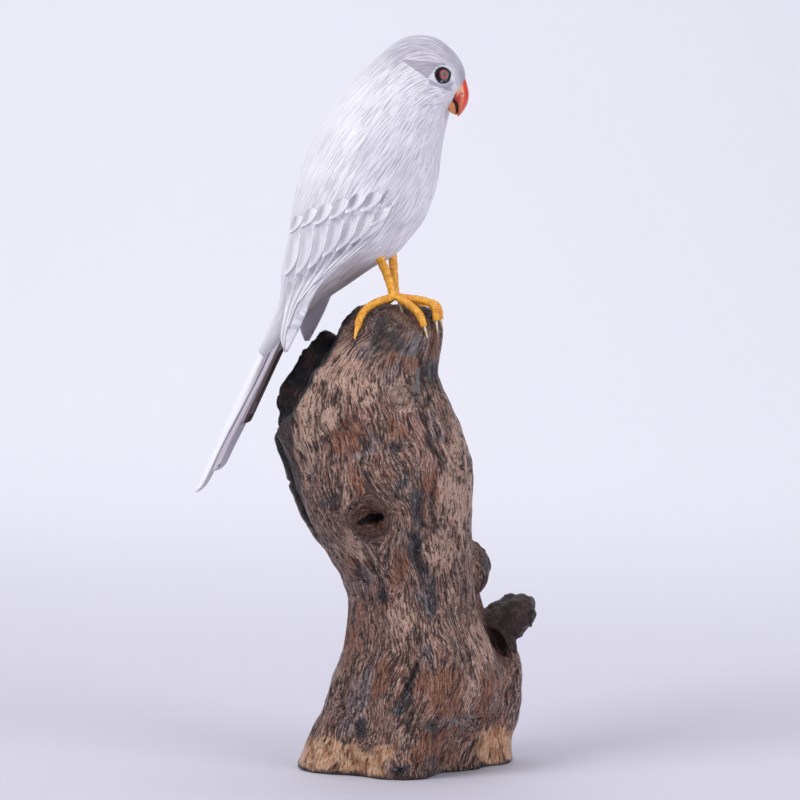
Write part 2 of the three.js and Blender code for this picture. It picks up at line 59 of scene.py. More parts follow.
# The beak: inner end, outer end and half width of each section.
UPPER_BEAK = np.array([
    (26.5, 374.2, 32.4, 376.2, 2.6), (23.5, 370.8, 33.6, 372.4, 4.8), (22.5, 367.8, 34.4, 368.4, 6),
    (24.5, 365.9, 34.3, 364.6, 5.6), (28.2, 362.6, 32.9, 360.6, 4.2), (28.8, 359.2, 30.6, 357.2, 2.4),
    (28.2, 356.2, 28.7, 355.3, 0.6),
])
LOWER_BEAK = np.array([
    (19.5, 365.6, 26.4, 366.0, 4.2), (20.0, 362.2, 28.4, 362.5, 4.2), (22.4, 360.0, 28.9, 359.3, 3.4),
    (24.0, 358.0, 28.5, 357.3, 2.2), (26.4, 356.5, 27.8, 356.2, 0.5),
])
# The line between its halves, with its radii.
GAPE = [
    (26.2, 4.8, 366.8, 0.35), (27.2, 4.3, 365, 0.6), (28.1, 3, 362.8, 0.75), (28.4, 2.3, 360, 0.7),
    (27.9, 1.4, 357.2, 0.45),
]
# The eyes: place in the side view, radius, rise of the dome, how deep the rim is sunk and painted ring.
EYE_PLACE = (23.6, 376.9)
EYE_RADIUS = 4.6
EYE_RISE = 1.2
EYE_SINK = (0.6, 1.4)
EYE_RING = (1.4, 2.5)

# Painted marks of the side view. The wedge behind the eye has a top and a foot that fall forwards.
WEDGE_TOP = (4.7, 385.2, 0.09)
WEDGE_FOOT = (3.6, 383.3, 0.683)
WEDGE_END = 25
LORE = (26.4, 372.6)
EYE_BAG = (22, 371.4, 0.35)
NOSTRIL = (31.9, 367.4)
BEAK_FLUSH = (28.6, 364.6)
BEAK_HIGHLIGHT = (30.4, 370)
WING_DOT = (-58.1, 237.3)
TAIL_MARK = (-102.9, 164.3)

# A folded wing: how far along it each station lies, its back edge and its lower edge.
WING_AT = np.array([0, 0.2, 0.35, 0.55, 0.68, 0.8, 0.92, 1])
WING_EDGES = np.array([
    (-46, 345.6, 1.5, 331.7), (-55, 324.2, 1.8, 317.9), (-60.1, 296.6, -1.8, 307.3),
    (-63.3, 270, -9.7, 293.5), (-64.8, 256.5, -27.8, 277.4), (-65.1, 245.6, -43, 263.2),
    (-64.8, 235.9, -52.6, 243.2), (-62.2, 228.6, -60.6, 228.2),
])
# How far it stands off the body at the shoulder and further on, and how thick it is on the body and clear
# of it, which it is past the gap. Past WING_FREE it reaches this far from the mid-plane, less the inset
# towards its back edge.
WING_RISE = (-1, 2.2)
WING_DEPTH = (9, 3)
WING_GAP = (4, 9)
WING_FREE = 0.3
WING_REACH = (27, 24.5)
WING_INSET = (20, 3)
LEFT_TIP_LIFT = 4

# Rows of wing feathers: where the first and last start, where each one ends, from the back edge to the
# lower edge, and how far the tips rise.
FEATHER_ROWS = [
    {"starts": (0.26, 0.16), "ends": (0.378, 0.367, 0.372, 0.36, 0.345, 0.352, 0.34), "rise": 0.9},
    {"starts": (0.34, 0.3), "ends": (0.552, 0.573, 0.578, 0.555, 0.555, 0.552, 0.47), "rise": 1.0},
    {"starts": (0.51, 0.47), "ends": (1, 0.97, 0.88, 0.78, 0.708, 0.708, 0.685), "rise": 1.0},
]
FEATHER_OVERLAP = 1.15
FEATHER_HOOK = 0.75
FEATHER_TILT = 0.3

# The tail's line, its rough length, how steeply its sides fall off and where it narrows.
TAIL_ROOT = np.array([-68.5, 259])
TAIL_TIP = np.array([-120.6, 150])
TAIL_LENGTH = 120
TAIL_SLOPE = 1.1
TAIL_NARROWS = (0.3, 0.8)
# Layers of the folded tail from the top one down: half widths near the root and near the tip, drop below
# the top, length as a share of the tail's, thickness and share of the length that the point takes.
TAIL_LAYERS = [
    (6.7, 3.8, 0, 1, 1.2, 0.1), (7.7, 5.9, 1.8, 0.885, 1.2, 0.08), (7.2, 7.2, 3.2, 0.63, 0.7, 0.06),
    (6.6, 6.6, 4, 0.58, 0.7, 0.06), (6, 6, 4.8, 0.52, 0.7, 0.06),
]

# Legs of wire and putty: centre lines with their radii.
LEGS = {
    "right": {
        "shank": [(-15, -7.6, 284, 2.5), (-12.5, -8, 279, 2.4), (-7.7, -9, 268, 2.2),
                  (-4.4, -10.7, 257.4, 2.1)],
        "toes": [
            [(-4.6, -10.8, 258.6, 2), (-7, -11.9, 257.9, 2), (-13.5, -14.6, 255.4, 2),
             (-18.7, -16, 251.8, 2), (-21.1, -18.9, 247, 2), (-21.7, -22, 242.6, 1.7)],
            [(-4.6, -10.8, 258.6, 2), (-2.4, -11.3, 258.4, 2), (3.3, -12.1, 255.3, 2),
             (7.9, -12.4, 251.8, 2), (11, -13.2, 248.2, 2), (13.2, -14, 242.6, 1.7)],
            [(-4.6, -10.8, 258.6, 2), (0.2, -8.2, 258.1, 2), (6.2, -5.7, 257, 2),
             (12.7, -4.8, 255.7, 2), (17, -4.9, 252.4, 2), (18.2, -6.4, 245.6, 1.7)],
        ],
        "pin": [(-1.5, -10.6, 257.6, 1), (0.6, -9.6, 248, 1)],
    },
    "left": {
        "shank": [(-10.4, 8.4, 284, 2.5), (-9.6, 9, 279, 2.4), (-8.9, 10, 268, 2.2),
                  (-8.4, 11, 257.4, 2.1)],
        "toes": [
            [(-8.4, 11, 258.4, 2), (-11, 12.8, 257.2, 2), (-15, 15.4, 254.6, 2),
             (-18.8, 18.4, 250.8, 2), (-21.2, 21.6, 246.4, 2), (-22, 23.8, 241.8, 1.7)],
            [(-8.4, 11, 258.4, 2), (-3.6, 8.4, 257.6, 2), (3.6, 6, 257, 2), (10.8, 3.5, 255.7, 2),
             (16.9, 1.7, 253.2, 2), (19, 0.3, 246.4, 1.7)],
            [(-8.4, 11, 258.4, 2), (-5.4, 13.4, 257.6, 2), (-1, 16.6, 255.8, 2), (3.6, 19.6, 252.8, 2),
             (6.6, 22, 248.8, 2), (8, 24, 244, 1.7)],
        ],
        "pin": [(-6.5, 10.2, 257.2, 1), (-4.5, 9, 248, 1)],
    },
}
WRINKLE_STEP = 1.15
# Claws: how far past the end of the toe and the radius there. The right leg's rear claw is stout and
# painted.
THIN_CLAW = [(-1.5, 0.85), (1, 0.7), (3.5, 0.5), (5.8, 0.2)]
STOUT_CLAW = [(-1.5, 1.4), (1, 1.3), (4, 0.9), (6.8, 0.4)]
CLAW_CURL = 0.02

# The stump lies in a frame of its own, turned under the bird.
STUMP_TURN = math.radians(13)
# Height, left edge, right edge, front edge and rear edge of the trunk, which its grain follows.
TRUNK = np.array([
    (0, -61, 45, -36, 43), (12, -58, 46, -38, 45), (33, -47, 51, -38, 44), (52, -41, 53, -36, 42),
    (69, -34, 47, -34, 38), (86, -33, 39, -32, 36), (104, -34, 37, -32, 35), (121, -45, 36, -34, 36),
    (139, -57.5, 36, -37, 38), (156, -63.5, 36.5, -38, 40), (174, -69, 35, -38, 40),
    (191, -73.5, 28.5, -37, 38), (204, -75, 21.5, -34, 36), (217, -68, 18.5, -30, 33),
    (230, -58, 19.5, -24, 30), (240, -40, 20.3, -19, 26), (254, -24, 8, -5, 11),
])
# Knots that the grain runs round: x, height, radius, the side they show on, front or rear, and darkness.
KNOTS = [(-19, 141.5, 12, -1, 1), (-3, 206, 6.5, -1, 0.35), (-30, 60, 7, 1, 0.5), (5, 150, 12, 1, 0.7)]
# The slot in the front knot: x, height, half length, half width, tilt and depth.
KNOT_SLOT = (-19.6, 141, 7.5, 2.4, 0.28, 2.6)
# Dark scars on the front: x, height, half length, half width, lean to the right going up and depth.
SCARS = [
    (10, 191, 9, 1.3, -0.4, 1.8), (15.5, 178, 9, 1.2, -0.5, 1.5), (12, 203, 5, 1.2, 0.35, 1.4),
    (7.4, 147, 9, 2.6, 0.1, 1.3), (6.5, 122, 15, 2.4, -0.2, 1.7), (-26, 112, 9, 2.4, -0.3, 1.0),
    (-13.4, 99, 8, 2.0, -0.25, 1.1), (12.7, 95, 12, 1.6, -0.2, 0.9), (2, 53, 12, 1.7, 0.45, 2.6),
    (-3, 40, 7, 2.4, 0.3, 2.2), (16, 27, 6, 2.6, 0.1, 1.3), (-4, 4, 4, 4, 0.2, 1.6),
    (-25, 27, 8, 2.6, 0.1, 1.2), (-7, 181, 5, 1.4, 0.3, 0.9), (29, 60, 20, 0.7, 0.1, 0.8),
    (-38, 152, 4, 3, 0.4, 0.8), (38, 100, 14, 0.6, 0.1, 0.8),
]
# Zones of the front with a colour: x, height, half width, half height and lean. Most are the wood's own
# tone, but some grey zones are painted glints on the varnish and a tan zone at the right edge is a painted
# highlight.
ZONES = {
    "tan": [
        (-36, 220, 17, 10, -0.6), (-55, 203, 12, 12, -0.5), (-46, 190, 9, 12, 0.3), (-3, 206, 9, 7, 0),
        (-20, 208, 9, 6, 0), (27, 178, 8, 16, 0), (24, 152, 9, 15, 0), (19, 121, 8, 14, 0),
        (44, 71, 4, 14, 0.2), (-33, 160, 5, 9, 0), (-28, 128, 7, 8, 0), (35, 45, 4, 16, 0),
        (-2, 84, 5, 16, 0), (-20, 236, 5, 4, 0.5), (-54, 178, 5, 24, -0.1), (33, 148, 5, 26, 0),
        (38, 80, 4, 16, 0.1),
    ],
    "grey": [
        (-22, 231, 5, 9, 0.3), (-18, 247, 9, 6, 0), (4, 234, 9, 5, 0), (16, 192, 4, 9, 0),
        (-20, 179, 5, 9, 0.3), (-1, 167, 6, 4, 0), (-3, 126, 4, 15, 0), (8.6, 107, 4.5, 11, -0.1),
        (-25, 112, 5, 11, -0.3), (-24, 48, 7, 23, 0.39), (-34, 27, 8, 8, 0.2), (26, 29, 8, 8, 0),
        (-10, 217, 5, 8, 0.3), (12, 66, 4, 8, 0),
    ],
    "rust": [
        (3, 224, 8, 10, 0), (16, 232, 4, 9, 0), (-7, 229, 5, 6, 0), (-32, 183, 9, 9, 0),
        (-25, 161, 9, 6, 0.3), (-2, 116, 5, 13, 0), (-30, 118, 4, 10, -0.4), (19, 48, 17, 13, 0),
        (-14, 53, 6, 15, 0.3), (-31, 78, 6, 17, 0.1), (14, 14, 15, 12, 0), (14, 160, 5, 10, 0),
        (-8, 192, 8, 5, 0), (-45, 62, 4, 14, 0.3), (44, 40, 6, 22, 0.1),
    ],
    "soot": [
        (-10, 241, 13, 8, 0), (13, 247, 8, 6, 0), (15, 220, 5, 6, 0), (7, 212, 4, 4, 0),
        (-6.5, 181, 4, 6, 0.2), (7.4, 147, 4.5, 12, 0), (1, 160, 4, 6, 0.2), (-40, 152, 7, 4, 0.3),
        (6, 121, 4, 15, -0.2), (12.7, 95, 4, 13, -0.1), (-24, 28, 4.5, 10, 0.2), (-22, 58, 2.5, 15, 0.4),
        (16, 27, 5, 7, 0), (12, 7, 3.5, 4, 0), (-3, 5, 7, 5, 0), (-3, 44, 4, 12, 0.4), (-54, 8, 6, 6, 0.5),
        (-13, 99, 3, 8, -0.25), (-3, 234, 11, 5, 0),
    ],
}
# The charred hollow, its dark partly painted shade: the slanting edge of its front wall, its floor and rear,
# and its troughs.
HOLLOW_TOP = np.array([-42.5, 261])
HOLLOW_FOOT = np.array([-76.5, 206])
HOLLOW_FLOOR = 17
HOLLOW_REAR = 16
HOLLOW_TROUGH = [
    (-42, 2, 240, 5), (-47, 0, 228, 10), (-55, -2, 213, 12), (-61, -4, 198, 9), (-62, -6, 182, 4),
]
EDGE_GROOVE = [(-70, -7, 204, 6), (-66, -8, 176, 5), (-58, -9, 150, 4.5), (-48, -10, 124, 2)]
# Usual width and depth of the trunk, to which the grain's coordinates are brought everywhere.
GRAIN_WIDTH = 84
GRAIN_DEPTH = 74
# Where the broken branch begins: x, y and height from which it fades in.
BRANCH_BEGINS = ((37, 46), (2, 8), (58, 66))
# Raw wood at the foot: x and height over which it fades in on the left and the right, and y of its front.
RAW_LEFT = ((-8, -14), (19, 16.5))
RAW_RIGHT = ((36, 42), (22, 19))
RAW_FRONT = (-26, -20)
# Charred strip down the left edge, its dark partly painted shade on that side: x, lean below a height, and
# the heights of its foot and top.
STRIP_EDGE = (-58.5, -61)
STRIP_LEAN = (0.16, 175)
STRIP_FOOT = (128, 140)
STRIP_TOP = (212, 204)

# How fine the skins are: rows along them and points across or round them.
BODY_GRID = (190, 128)
WING_GRID = (90, 50)
FEATHER_GRID = (40, 17)
TAIL_GRID = (90, 25)
BEAK_GRID = (70, 40)
EYE_GRID = (26, 64)
# How pieces are melted: size of the voxels and rounds of easing.
BODY_MELT = (0.85, 6)
LEG_MELT = (0.3, 4)
STUMP_MELT = (1.15, 12)
# Millimetres of painted strokes to one rib of the body and to one radian round it.
STROKE_SCALE = (18, 24)
# What each line of a leg adds to the distance along it, so that no two lines share one.
LINE_APART = 100
# Halvings that find a point's place among the ribs.
HALVINGS = 28

# The view: distance from the bird's mid-plane, height above the floor, pitch and lens.
CAMERA_DISTANCE = 1500
CAMERA_HEIGHT = 300
CAMERA_SIDE = -3.3
CAMERA_PITCH = math.radians(3.73)
CAMERA_LENS = 124.4
SENSOR = 36

# The floor that curves up into a wall: half width, front end, wall, radius of the curve and height.
SWEEP_HALF_WIDTH = 9000
SWEEP_FRONT = -5200
SWEEP_WALL = 2600
SWEEP_RADIUS = 1600
SWEEP_HEIGHT = 5200
SWEEP_DROP = 0.05
# Soft boxes: place, width, height, watts, colour and the point that they face.
SOFT_BOXES = {
    "key": ((-1500, -1500, 1900), 1300, 1300, 43, (1.0, 0.99, 0.97), (0, 0, 220)),
    "fill": ((1900, -900, 900), 1300, 1700, 26, (0.97, 0.97, 1.0), (0, 0, 220)),
    "overhead": ((0, 300, 2300), 2200, 1600, 18, (0.98, 0.98, 1.0), (0, 0, 220)),
    "backdrop": ((-600, 900, 2500), 2200, 800, 12, (0.98, 0.98, 1.0), (-600, 2600, 700)),
}
SKY_COLOUR = (0.82, 0.82, 0.9, 1)
SKY_STRENGTH = 0.4


# Curves


def through(rows, place):
    """Smooth curve through equally spaced rows, at places from 0 to the last row."""
    rows = np.asarray(rows, float)
    place = np.asarray(place, float)
    last = len(rows) - 1
    index = np.clip(np.floor(place), 0, last - 1).astype(int)
    t = (place - index).reshape(place.shape + (1,) * (rows.ndim - 1))
    a, b, c, d = (rows[np.clip(index + k, 0, last)] for k in (-1, 0, 1, 2))
    slope_in = (c - a) / 2
    slope_out = (d - b) / 2
    square = t * t
    cube = square * t
    return ((2 * cube - 3 * square + 1) * b + (cube - 2 * square + t) * slope_in
            + (3 * square - 2 * cube) * c + (cube - square) * slope_out)


def smooth(x, low, high):
    """0 below low, 1 above high and an S between them."""
    t = np.clip((np.asarray(x, float) - low) / (high - low), 0, 1)
    return t * t * (3 - 2 * t)


def lerp(pair, t):
    return pair[0] + (pair[1] - pair[0]) * t


def joined(*parts):
    """Points or vectors from their parts."""
    return np.stack(parts, axis=-1)


def grid(size, edge):
    """Places from 0 to 1 along a sheet and from an edge to 1 across it."""
    return np.meshgrid(np.linspace(0, 1, size[0]), np.linspace(edge, 1, size[1]), indexing="ij")


def angles(count):
    return np.linspace(0, 2 * np.pi, count, endpoint=False)


def unit(vectors):
    return vectors / np.maximum(np.linalg.norm(vectors, axis=-1, keepdims=True), 1e-9)


def noise_at(points, seed):
    """Soft noise from -1 to 1 at many points."""
    shifted = np.asarray(points, float) + seed
    found = [noise.noise(point) for point in shifted.reshape(-1, 3).tolist()]
    return np.array(found).reshape(shifted.shape[:-1])


# Meshes


def put_in_scene(name, data):
    made = bpy.data.objects.new(name, data)
    bpy.context.scene.collection.objects.link(made)
    return made


def closed(top, bottom):
    """Rings round a sheet, from its upper and its lower grid."""
    return np.concatenate([top, bottom[:, ::-1]], axis=1)


class Clay:
    """Points, faces and painted values gathered for one piece."""

    def __init__(self):
        self.points = []
        self.faces = []
        self.values = {}
        self.count = 0

    def add_rings(self, rings, **values):
        """Closed skin through rings of as many points each, with a flat face over each end."""
        rows, columns = rings.shape[:2]
        index = np.arange(rows * columns).reshape(rows, columns) + self.count
        after = np.roll(index, -1, axis=1)
        quads = joined(index[:-1], after[:-1], after[1:], index[1:])
        self.faces += quads.reshape(-1, 4).tolist()
        self.faces += [index[0, ::-1].tolist(), index[-1].tolist()]
        self.points.append(rings.reshape(-1, 3))
        self.count += rows * columns
        for name, value in values.items():
            self.values.setdefault(name, []).append(np.asarray(value, float).reshape(rows * columns, -1))

    def add_leaf(self, top, bottom, **values):
        """Thin closed sheet that has the same values above and below. Its rim is 1 below."""
        rim = np.zeros(top.shape[:2])
        both = {name: closed(value, value) for name, value in values.items()}
        self.add_rings(closed(top, bottom), rim=closed(rim, rim + 1), **both)

    def piece(self, name):
        """The gathered skins as one new object."""
        mesh = bpy.data.meshes.new(name)
        mesh.from_pydata((np.concatenate(self.points) * MM).tolist(), [], self.faces)
        shaped = bmesh.new()
        shaped.from_mesh(mesh)
        bmesh.ops.recalc_face_normals(shaped, faces=shaped.faces)
        shaped.to_mesh(mesh)
        shaped.free()
        made = put_in_scene(name, mesh)
        for label, stored in self.values.items():
            paint_values(made, label, np.concatenate(stored))
        return made


def paint_values(piece, label, values):
    """Stores one number or vector for each point of a piece."""
    values = np.asarray(values, float)
    wide = values.ndim == 2 and values.shape[1] == 3
    layer = piece.data.attributes.new(label, "FLOAT_VECTOR" if wide else "FLOAT", "POINT")
    layer.data.foreach_set("vector" if wide else "value", values.ravel())


def points_of(piece):
    flat = np.empty(len(piece.data.vertices) * 3)
    piece.data.vertices.foreach_get("co", flat)
    return flat.reshape(-1, 3) / MM


def normals_of(piece):
    flat = np.empty(len(piece.data.vertices) * 3)
    piece.data.vertices.foreach_get("normal", flat)
    return flat.reshape(-1, 3)


def move_points(piece, points):
    piece.data.vertices.foreach_set("co", (points * MM).ravel())
    piece.data.update()


def melt(piece, voxel, easing):
    """Melts a piece's overlapping skins into one even skin and eases it."""
    melted = piece.modifiers.new("melt", "REMESH")
    melted.mode = "VOXEL"
    melted.voxel_size = voxel * MM
    eased = piece.modifiers.new("ease", "SMOOTH")
    eased.factor = 0.5
    eased.iterations = easing
    bpy.context.view_layer.update()
    shaped = bpy.data.meshes.new_from_object(piece.evaluated_get(bpy.context.evaluated_depsgraph_get()))
    piece.modifiers.clear()
    piece.data = shaped


def place_piece(piece, finish, node):
    """Gives a piece its finish, stands it in for a solid and lets it move with the carving."""
    piece.data.materials.clear()
    piece.data.materials.append(finish)
    piece.data.polygons.foreach_set("use_smooth", [True] * len(piece.data.polygons))
    piece.data.update()
    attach(piece, "root")
    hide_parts(node)


def sweep(line, sides, step):
    """Rings round a smooth line through (x, y, z, radius) points, a step apart."""
    rows = np.asarray(line, float)
    rough = through(rows, np.linspace(0, len(rows) - 1, 60))
    length = np.linalg.norm(np.diff(rough[:, :3], axis=0), axis=1).sum()
    places = np.linspace(0, len(rows) - 1, max(2, int(length / step)) + 1)
    found = through(rows, places)
    centres, radii = found[:, :3], found[:, 3]
    ahead = unit(np.gradient(centres, axis=0))
    up = unit(np.cross(np.array([0, 1, 0]), ahead))
    across = np.cross(ahead, up)
    angle = angles(sides)[None, :, None]
    round_about = up[:, None] * np.cos(angle) + across[:, None] * np.sin(angle)
    return centres[:, None] + radii[:, None, None] * round_about


def nearest_on(lines, points, samples=48):
    """For each point: how far along its nearest line it lies, and its distance over that line's radius."""
    best = np.full(len(points), 1e9)
    along = np.zeros(len(points))
    for k, line in enumerate(lines):
        rows = through(np.asarray(line, float), np.linspace(0, len(line) - 1, samples))
        steps = np.linalg.norm(np.diff(rows[:, :3], axis=0), axis=1)
        travelled = np.concatenate([[0], np.cumsum(steps)])
        for start, stop, distance, stride in zip(rows[:-1], rows[1:], travelled, steps):
            way = stop[:3] - start[:3]
            t = np.clip((points - start[:3]) @ way / max(way @ way, 1e-9), 0, 1)
            apart = np.linalg.norm(points - start[:3] - t[:, None] * way, axis=1)
            ratio = apart / (start[3] + (stop[3] - start[3]) * t)
            closer = ratio < best
            best = np.where(closer, ratio, best)
            along = np.where(closer, distance + t * stride + LINE_APART * k, along)
    return along, best


# Finishes


def tint(screen):
    """A colour of the screen, 0 to 255, as the light that a shader works with."""
    return tuple(((c / 255 + 0.055) / 1.055) ** 2.4 for c in screen) + (1.0,)


class Value:
    """A number, place or colour that varies over a surface. Sums and products of numbers add Math nodes."""

    def __init__(self, finish, socket):
        self.finish = finish
        self.socket = socket

    def maths(self, operation, first, second):
        return self.finish.node("ShaderNodeMath", {"operation": operation}, {0: first, 1: second})

    def __add__(self, other):
        return self.maths("ADD", self, other)

    def __sub__(self, other):
        return self.maths("SUBTRACT", self, other)

    def __rsub__(self, other):
        return self.maths("SUBTRACT", other, self)

    def __mul__(self, other):
        return self.maths("MULTIPLY", self, other)

    def __abs__(self):
        return self.maths("ABSOLUTE", self, 0.0)

    def larger(self, other):
        return self.maths("MAXIMUM", self, other)

    def smaller(self, other):
        return self.maths("MINIMUM", self, other)

    def step(self, low, high):
        """0 below low, 1 above high and an S between them. Low may be the larger."""
        settings = {"interpolation_type": "SMOOTHSTEP"}
        return self.finish.node("ShaderNodeMapRange", settings, {0: self, 1: low, 2: high})

    def mix(self, under, over):
        """One colour where this is 0 and the other where it is 1."""
        settings = {"data_type": "RGBA", "clamp_factor": True}
        return self.finish.node("ShaderNodeMix", settings, {0: self, 6: under, 7: over}, out=2)

    def parts(self):
        split = self.finish.node("ShaderNodeSeparateXYZ", values={0: self})
        return [Value(self.finish, socket) for socket in split.socket.node.outputs]

    def noise(self, stretch, detail=2.0, roughness=0.5, distortion=0.0):
        """Soft noise from 0 to 1 at places that are stretched first."""
        settings = {"operation": "MULTIPLY"}
        stretched = self.finish.node("ShaderNodeVectorMath", settings, {0: self, 1: stretch})
        values = {"Vector": stretched, "Scale": 1.0, "Detail": detail, "Roughness": roughness,
                  "Distortion": distortion}
        return self.finish.node("ShaderNodeTexNoise", values=values)

    def bump(self, depth):
        """A normal that follows this height, with a depth in millimetres."""
        values = {"Height": self, "Distance": depth * MM, "Strength": 1.0}
        return self.finish.node("ShaderNodeBump", values=values)

    __radd__ = __add__
    __rmul__ = __mul__


class Finish:
    """One material and the nodes that make it."""

    def __init__(self, name):
        self.material = bpy.data.materials.new(name)
        self.material.use_nodes = True
        self.tree = self.material.node_tree
        self.shader = self.tree.nodes["Principled BSDF"]

    def node(self, kind, settings=(), values=(), out=0):
        """One of a new node's outputs. Its settings come first, then the values or links of its inputs."""
        made = self.tree.nodes.new(kind)
        for name, setting in dict(settings).items():
            setattr(made, name, setting)
        for key, value in dict(values).items():
            self.feed(made.inputs[key], value)
        return Value(self, made.outputs[out])

    def feed(self, socket, value):
        """Links an input to a value or sets it. Colours are given as on the screen, 0 to 255."""
        if isinstance(value, Value):
            self.tree.links.new(value.socket, socket)
        else:
            socket.default_value = tint(value) if socket.type == "RGBA" else value

    def attribute(self, label, out="Vector"):
        return self.node("ShaderNodeAttribute", {"attribute_name": label}, out=out)

    def number(self, label):
        return self.attribute(label, "Fac")

    def join(self, x, y, z):
        return self.node("ShaderNodeCombineXYZ", values={0: x, 1: y, 2: z})

    def place(self):
        """Place on the carving in millimetres."""
        here = self.node("ShaderNodeTexCoord", out="Object")
        return self.node("ShaderNodeVectorMath", {"operation": "SCALE"}, {"Vector": here, "Scale": 1 / MM})

    def far(self, x, z, spot):
        """Distance from a spot of the side view."""
        away = self.join(x - spot[0], 0.0, z - spot[1])
        return self.node("ShaderNodeVectorMath", {"operation": "LENGTH"}, {0: away}, out="Value")

    def shade(self, **values):
        for name, value in values.items():
            self.feed(self.shader.inputs[name.replace("_", " ")], value)
        return self.material


PAPER_WHITE = (236, 235, 241)
CLEAN_WHITE = (246, 246, 250)
STROKE_GREY = (150, 145, 163)
WEDGE_GREY = (140, 135, 152)
TAIL_SHADE_MAUVE = (150, 138, 152)


def plumage_paint():
    """White, greyer on the head and breast, with grey strokes that run from the beak to the tail. The
    breast's grey is partly painted shade, the back has fewer strokes as painted light, and clean white
    flecks between the strokes are painted highlights.
    """
    finish = Finish("plumage_paint")
    along, across, level = finish.attribute("flow").parts()
    x, y, z = finish.place().parts()
    line = finish.join(along, across, 0.0)
    fine = line.noise((0.06, 1.7, 1), 3, 0.6)
    sparse = line.noise((0.05, 1.9, 1), 2, 0.5, 0.2)
    cloud = line.noise((0.03, 0.09, 1), 3, 0.5)
    stroke = fine.step(0.47, 0.6)
    accent = sparse.step(0.57, 0.64)

    head = along.step(120, 60)
    crown = level.step(0.3, 0.85) * along.step(115, 55)
    breast = level.step(0.35, -0.2)
    # Painted light and shade: the back gets fewer strokes and less grey, and the breast a little more grey.
    back = level.step(0.3, 0.75) * along.step(80, 130)
    shade = 0.05 + crown * 0.66 + breast * 0.08 + cloud.step(0.45, 0.65) * 0.14 - back * 0.04
    density = 0.46 + head * 0.1 + crown * 0.3 + breast * 0.04 - back * 0.26
    white = shade.larger(0.0).mix(PAPER_WHITE, STROKE_GREY)
    drawn = (stroke * density).mix(white, STROKE_GREY)
    accented = (accent * density * 0.75).mix(drawn, (116, 111, 131))
    # Painted highlights: clean white flecks between the strokes.
    lit = (fine.step(0.43, 0.33) * 0.65).mix(accented, CLEAN_WHITE)

    # The wedge behind the eye, the shade between the eye and the beak, and the light ring round the eye.
    eye_far = finish.far(x, z, EYE_PLACE)
    top_x, top_z, top_fall = WEDGE_TOP
    foot_x, foot_z, foot_fall = WEDGE_FOOT
    below_top = (top_z - z - (x - top_x) * top_fall).step(-0.3, 0.4)
    above_foot = (z - foot_z + (x - foot_x) * foot_fall).step(-0.3, 0.5)
    clear = (eye_far - (EYE_PLACE[1] + 1.1 - z).larger(0.0) * 0.9).step(4.9, 5.7)
    wedge = below_top * above_foot * clear * x.step(WEDGE_END, WEDGE_END - 1)
    eyed = (wedge * (0.6 + fine * 0.3)).mix(lit, WEDGE_GREY)
    lore = (abs(x - LORE[0]) * 0.45 + abs(z - LORE[1]) * 0.3).step(1.25, 0.5)
    bag_x, bag_z, bag_fall = EYE_BAG
    bag = abs(z - bag_z + (x - bag_x) * bag_fall).step(1.7, 0.8) * abs(x - bag_x).step(6.2, 4.6)
    shaded = (lore.larger(bag) * (0.45 + fine * 0.7)).mix(eyed, (150, 142, 165))
    haloed = (abs(eye_far - 5).step(0.7, 0.1) * 0.22).mix(shaded, CLEAN_WHITE)

    # Painted shade under the rump, with a darker painted shadow along its lowest line, and the inner face of
    # the free wing.
    skin = finish.number("skin")
    rump_shade = level.step(-0.55, -0.85) * along.step(165, 190) * skin
    seam_shadow = level.step(-0.85, -1.0) * along.step(170, 190) * skin
    rump_shaded = (rump_shade * (0.5 + stroke * 0.4)).mix(haloed, (146, 130, 132))
    deep = (seam_shadow * 0.7).mix(rump_shaded, (96, 80, 80))
    # Painted shade: the inner face of the free wing is painted mauve-grey.
    inner = finish.number("inner")
    inside = inner.mix(deep, (172, 165, 180))
    dot = finish.far(x, z, WING_DOT).step(0.75, 0.45) * inner * y.step(1, 4)
    colour = dot.mix(inside, (70, 58, 66))
    return finish.shade(Base_Color=colour, Roughness=0.5 + stroke * 0.12, Normal=fine.bump(0.3),
                        Coat_Weight=0.12, Coat_Roughness=0.35)


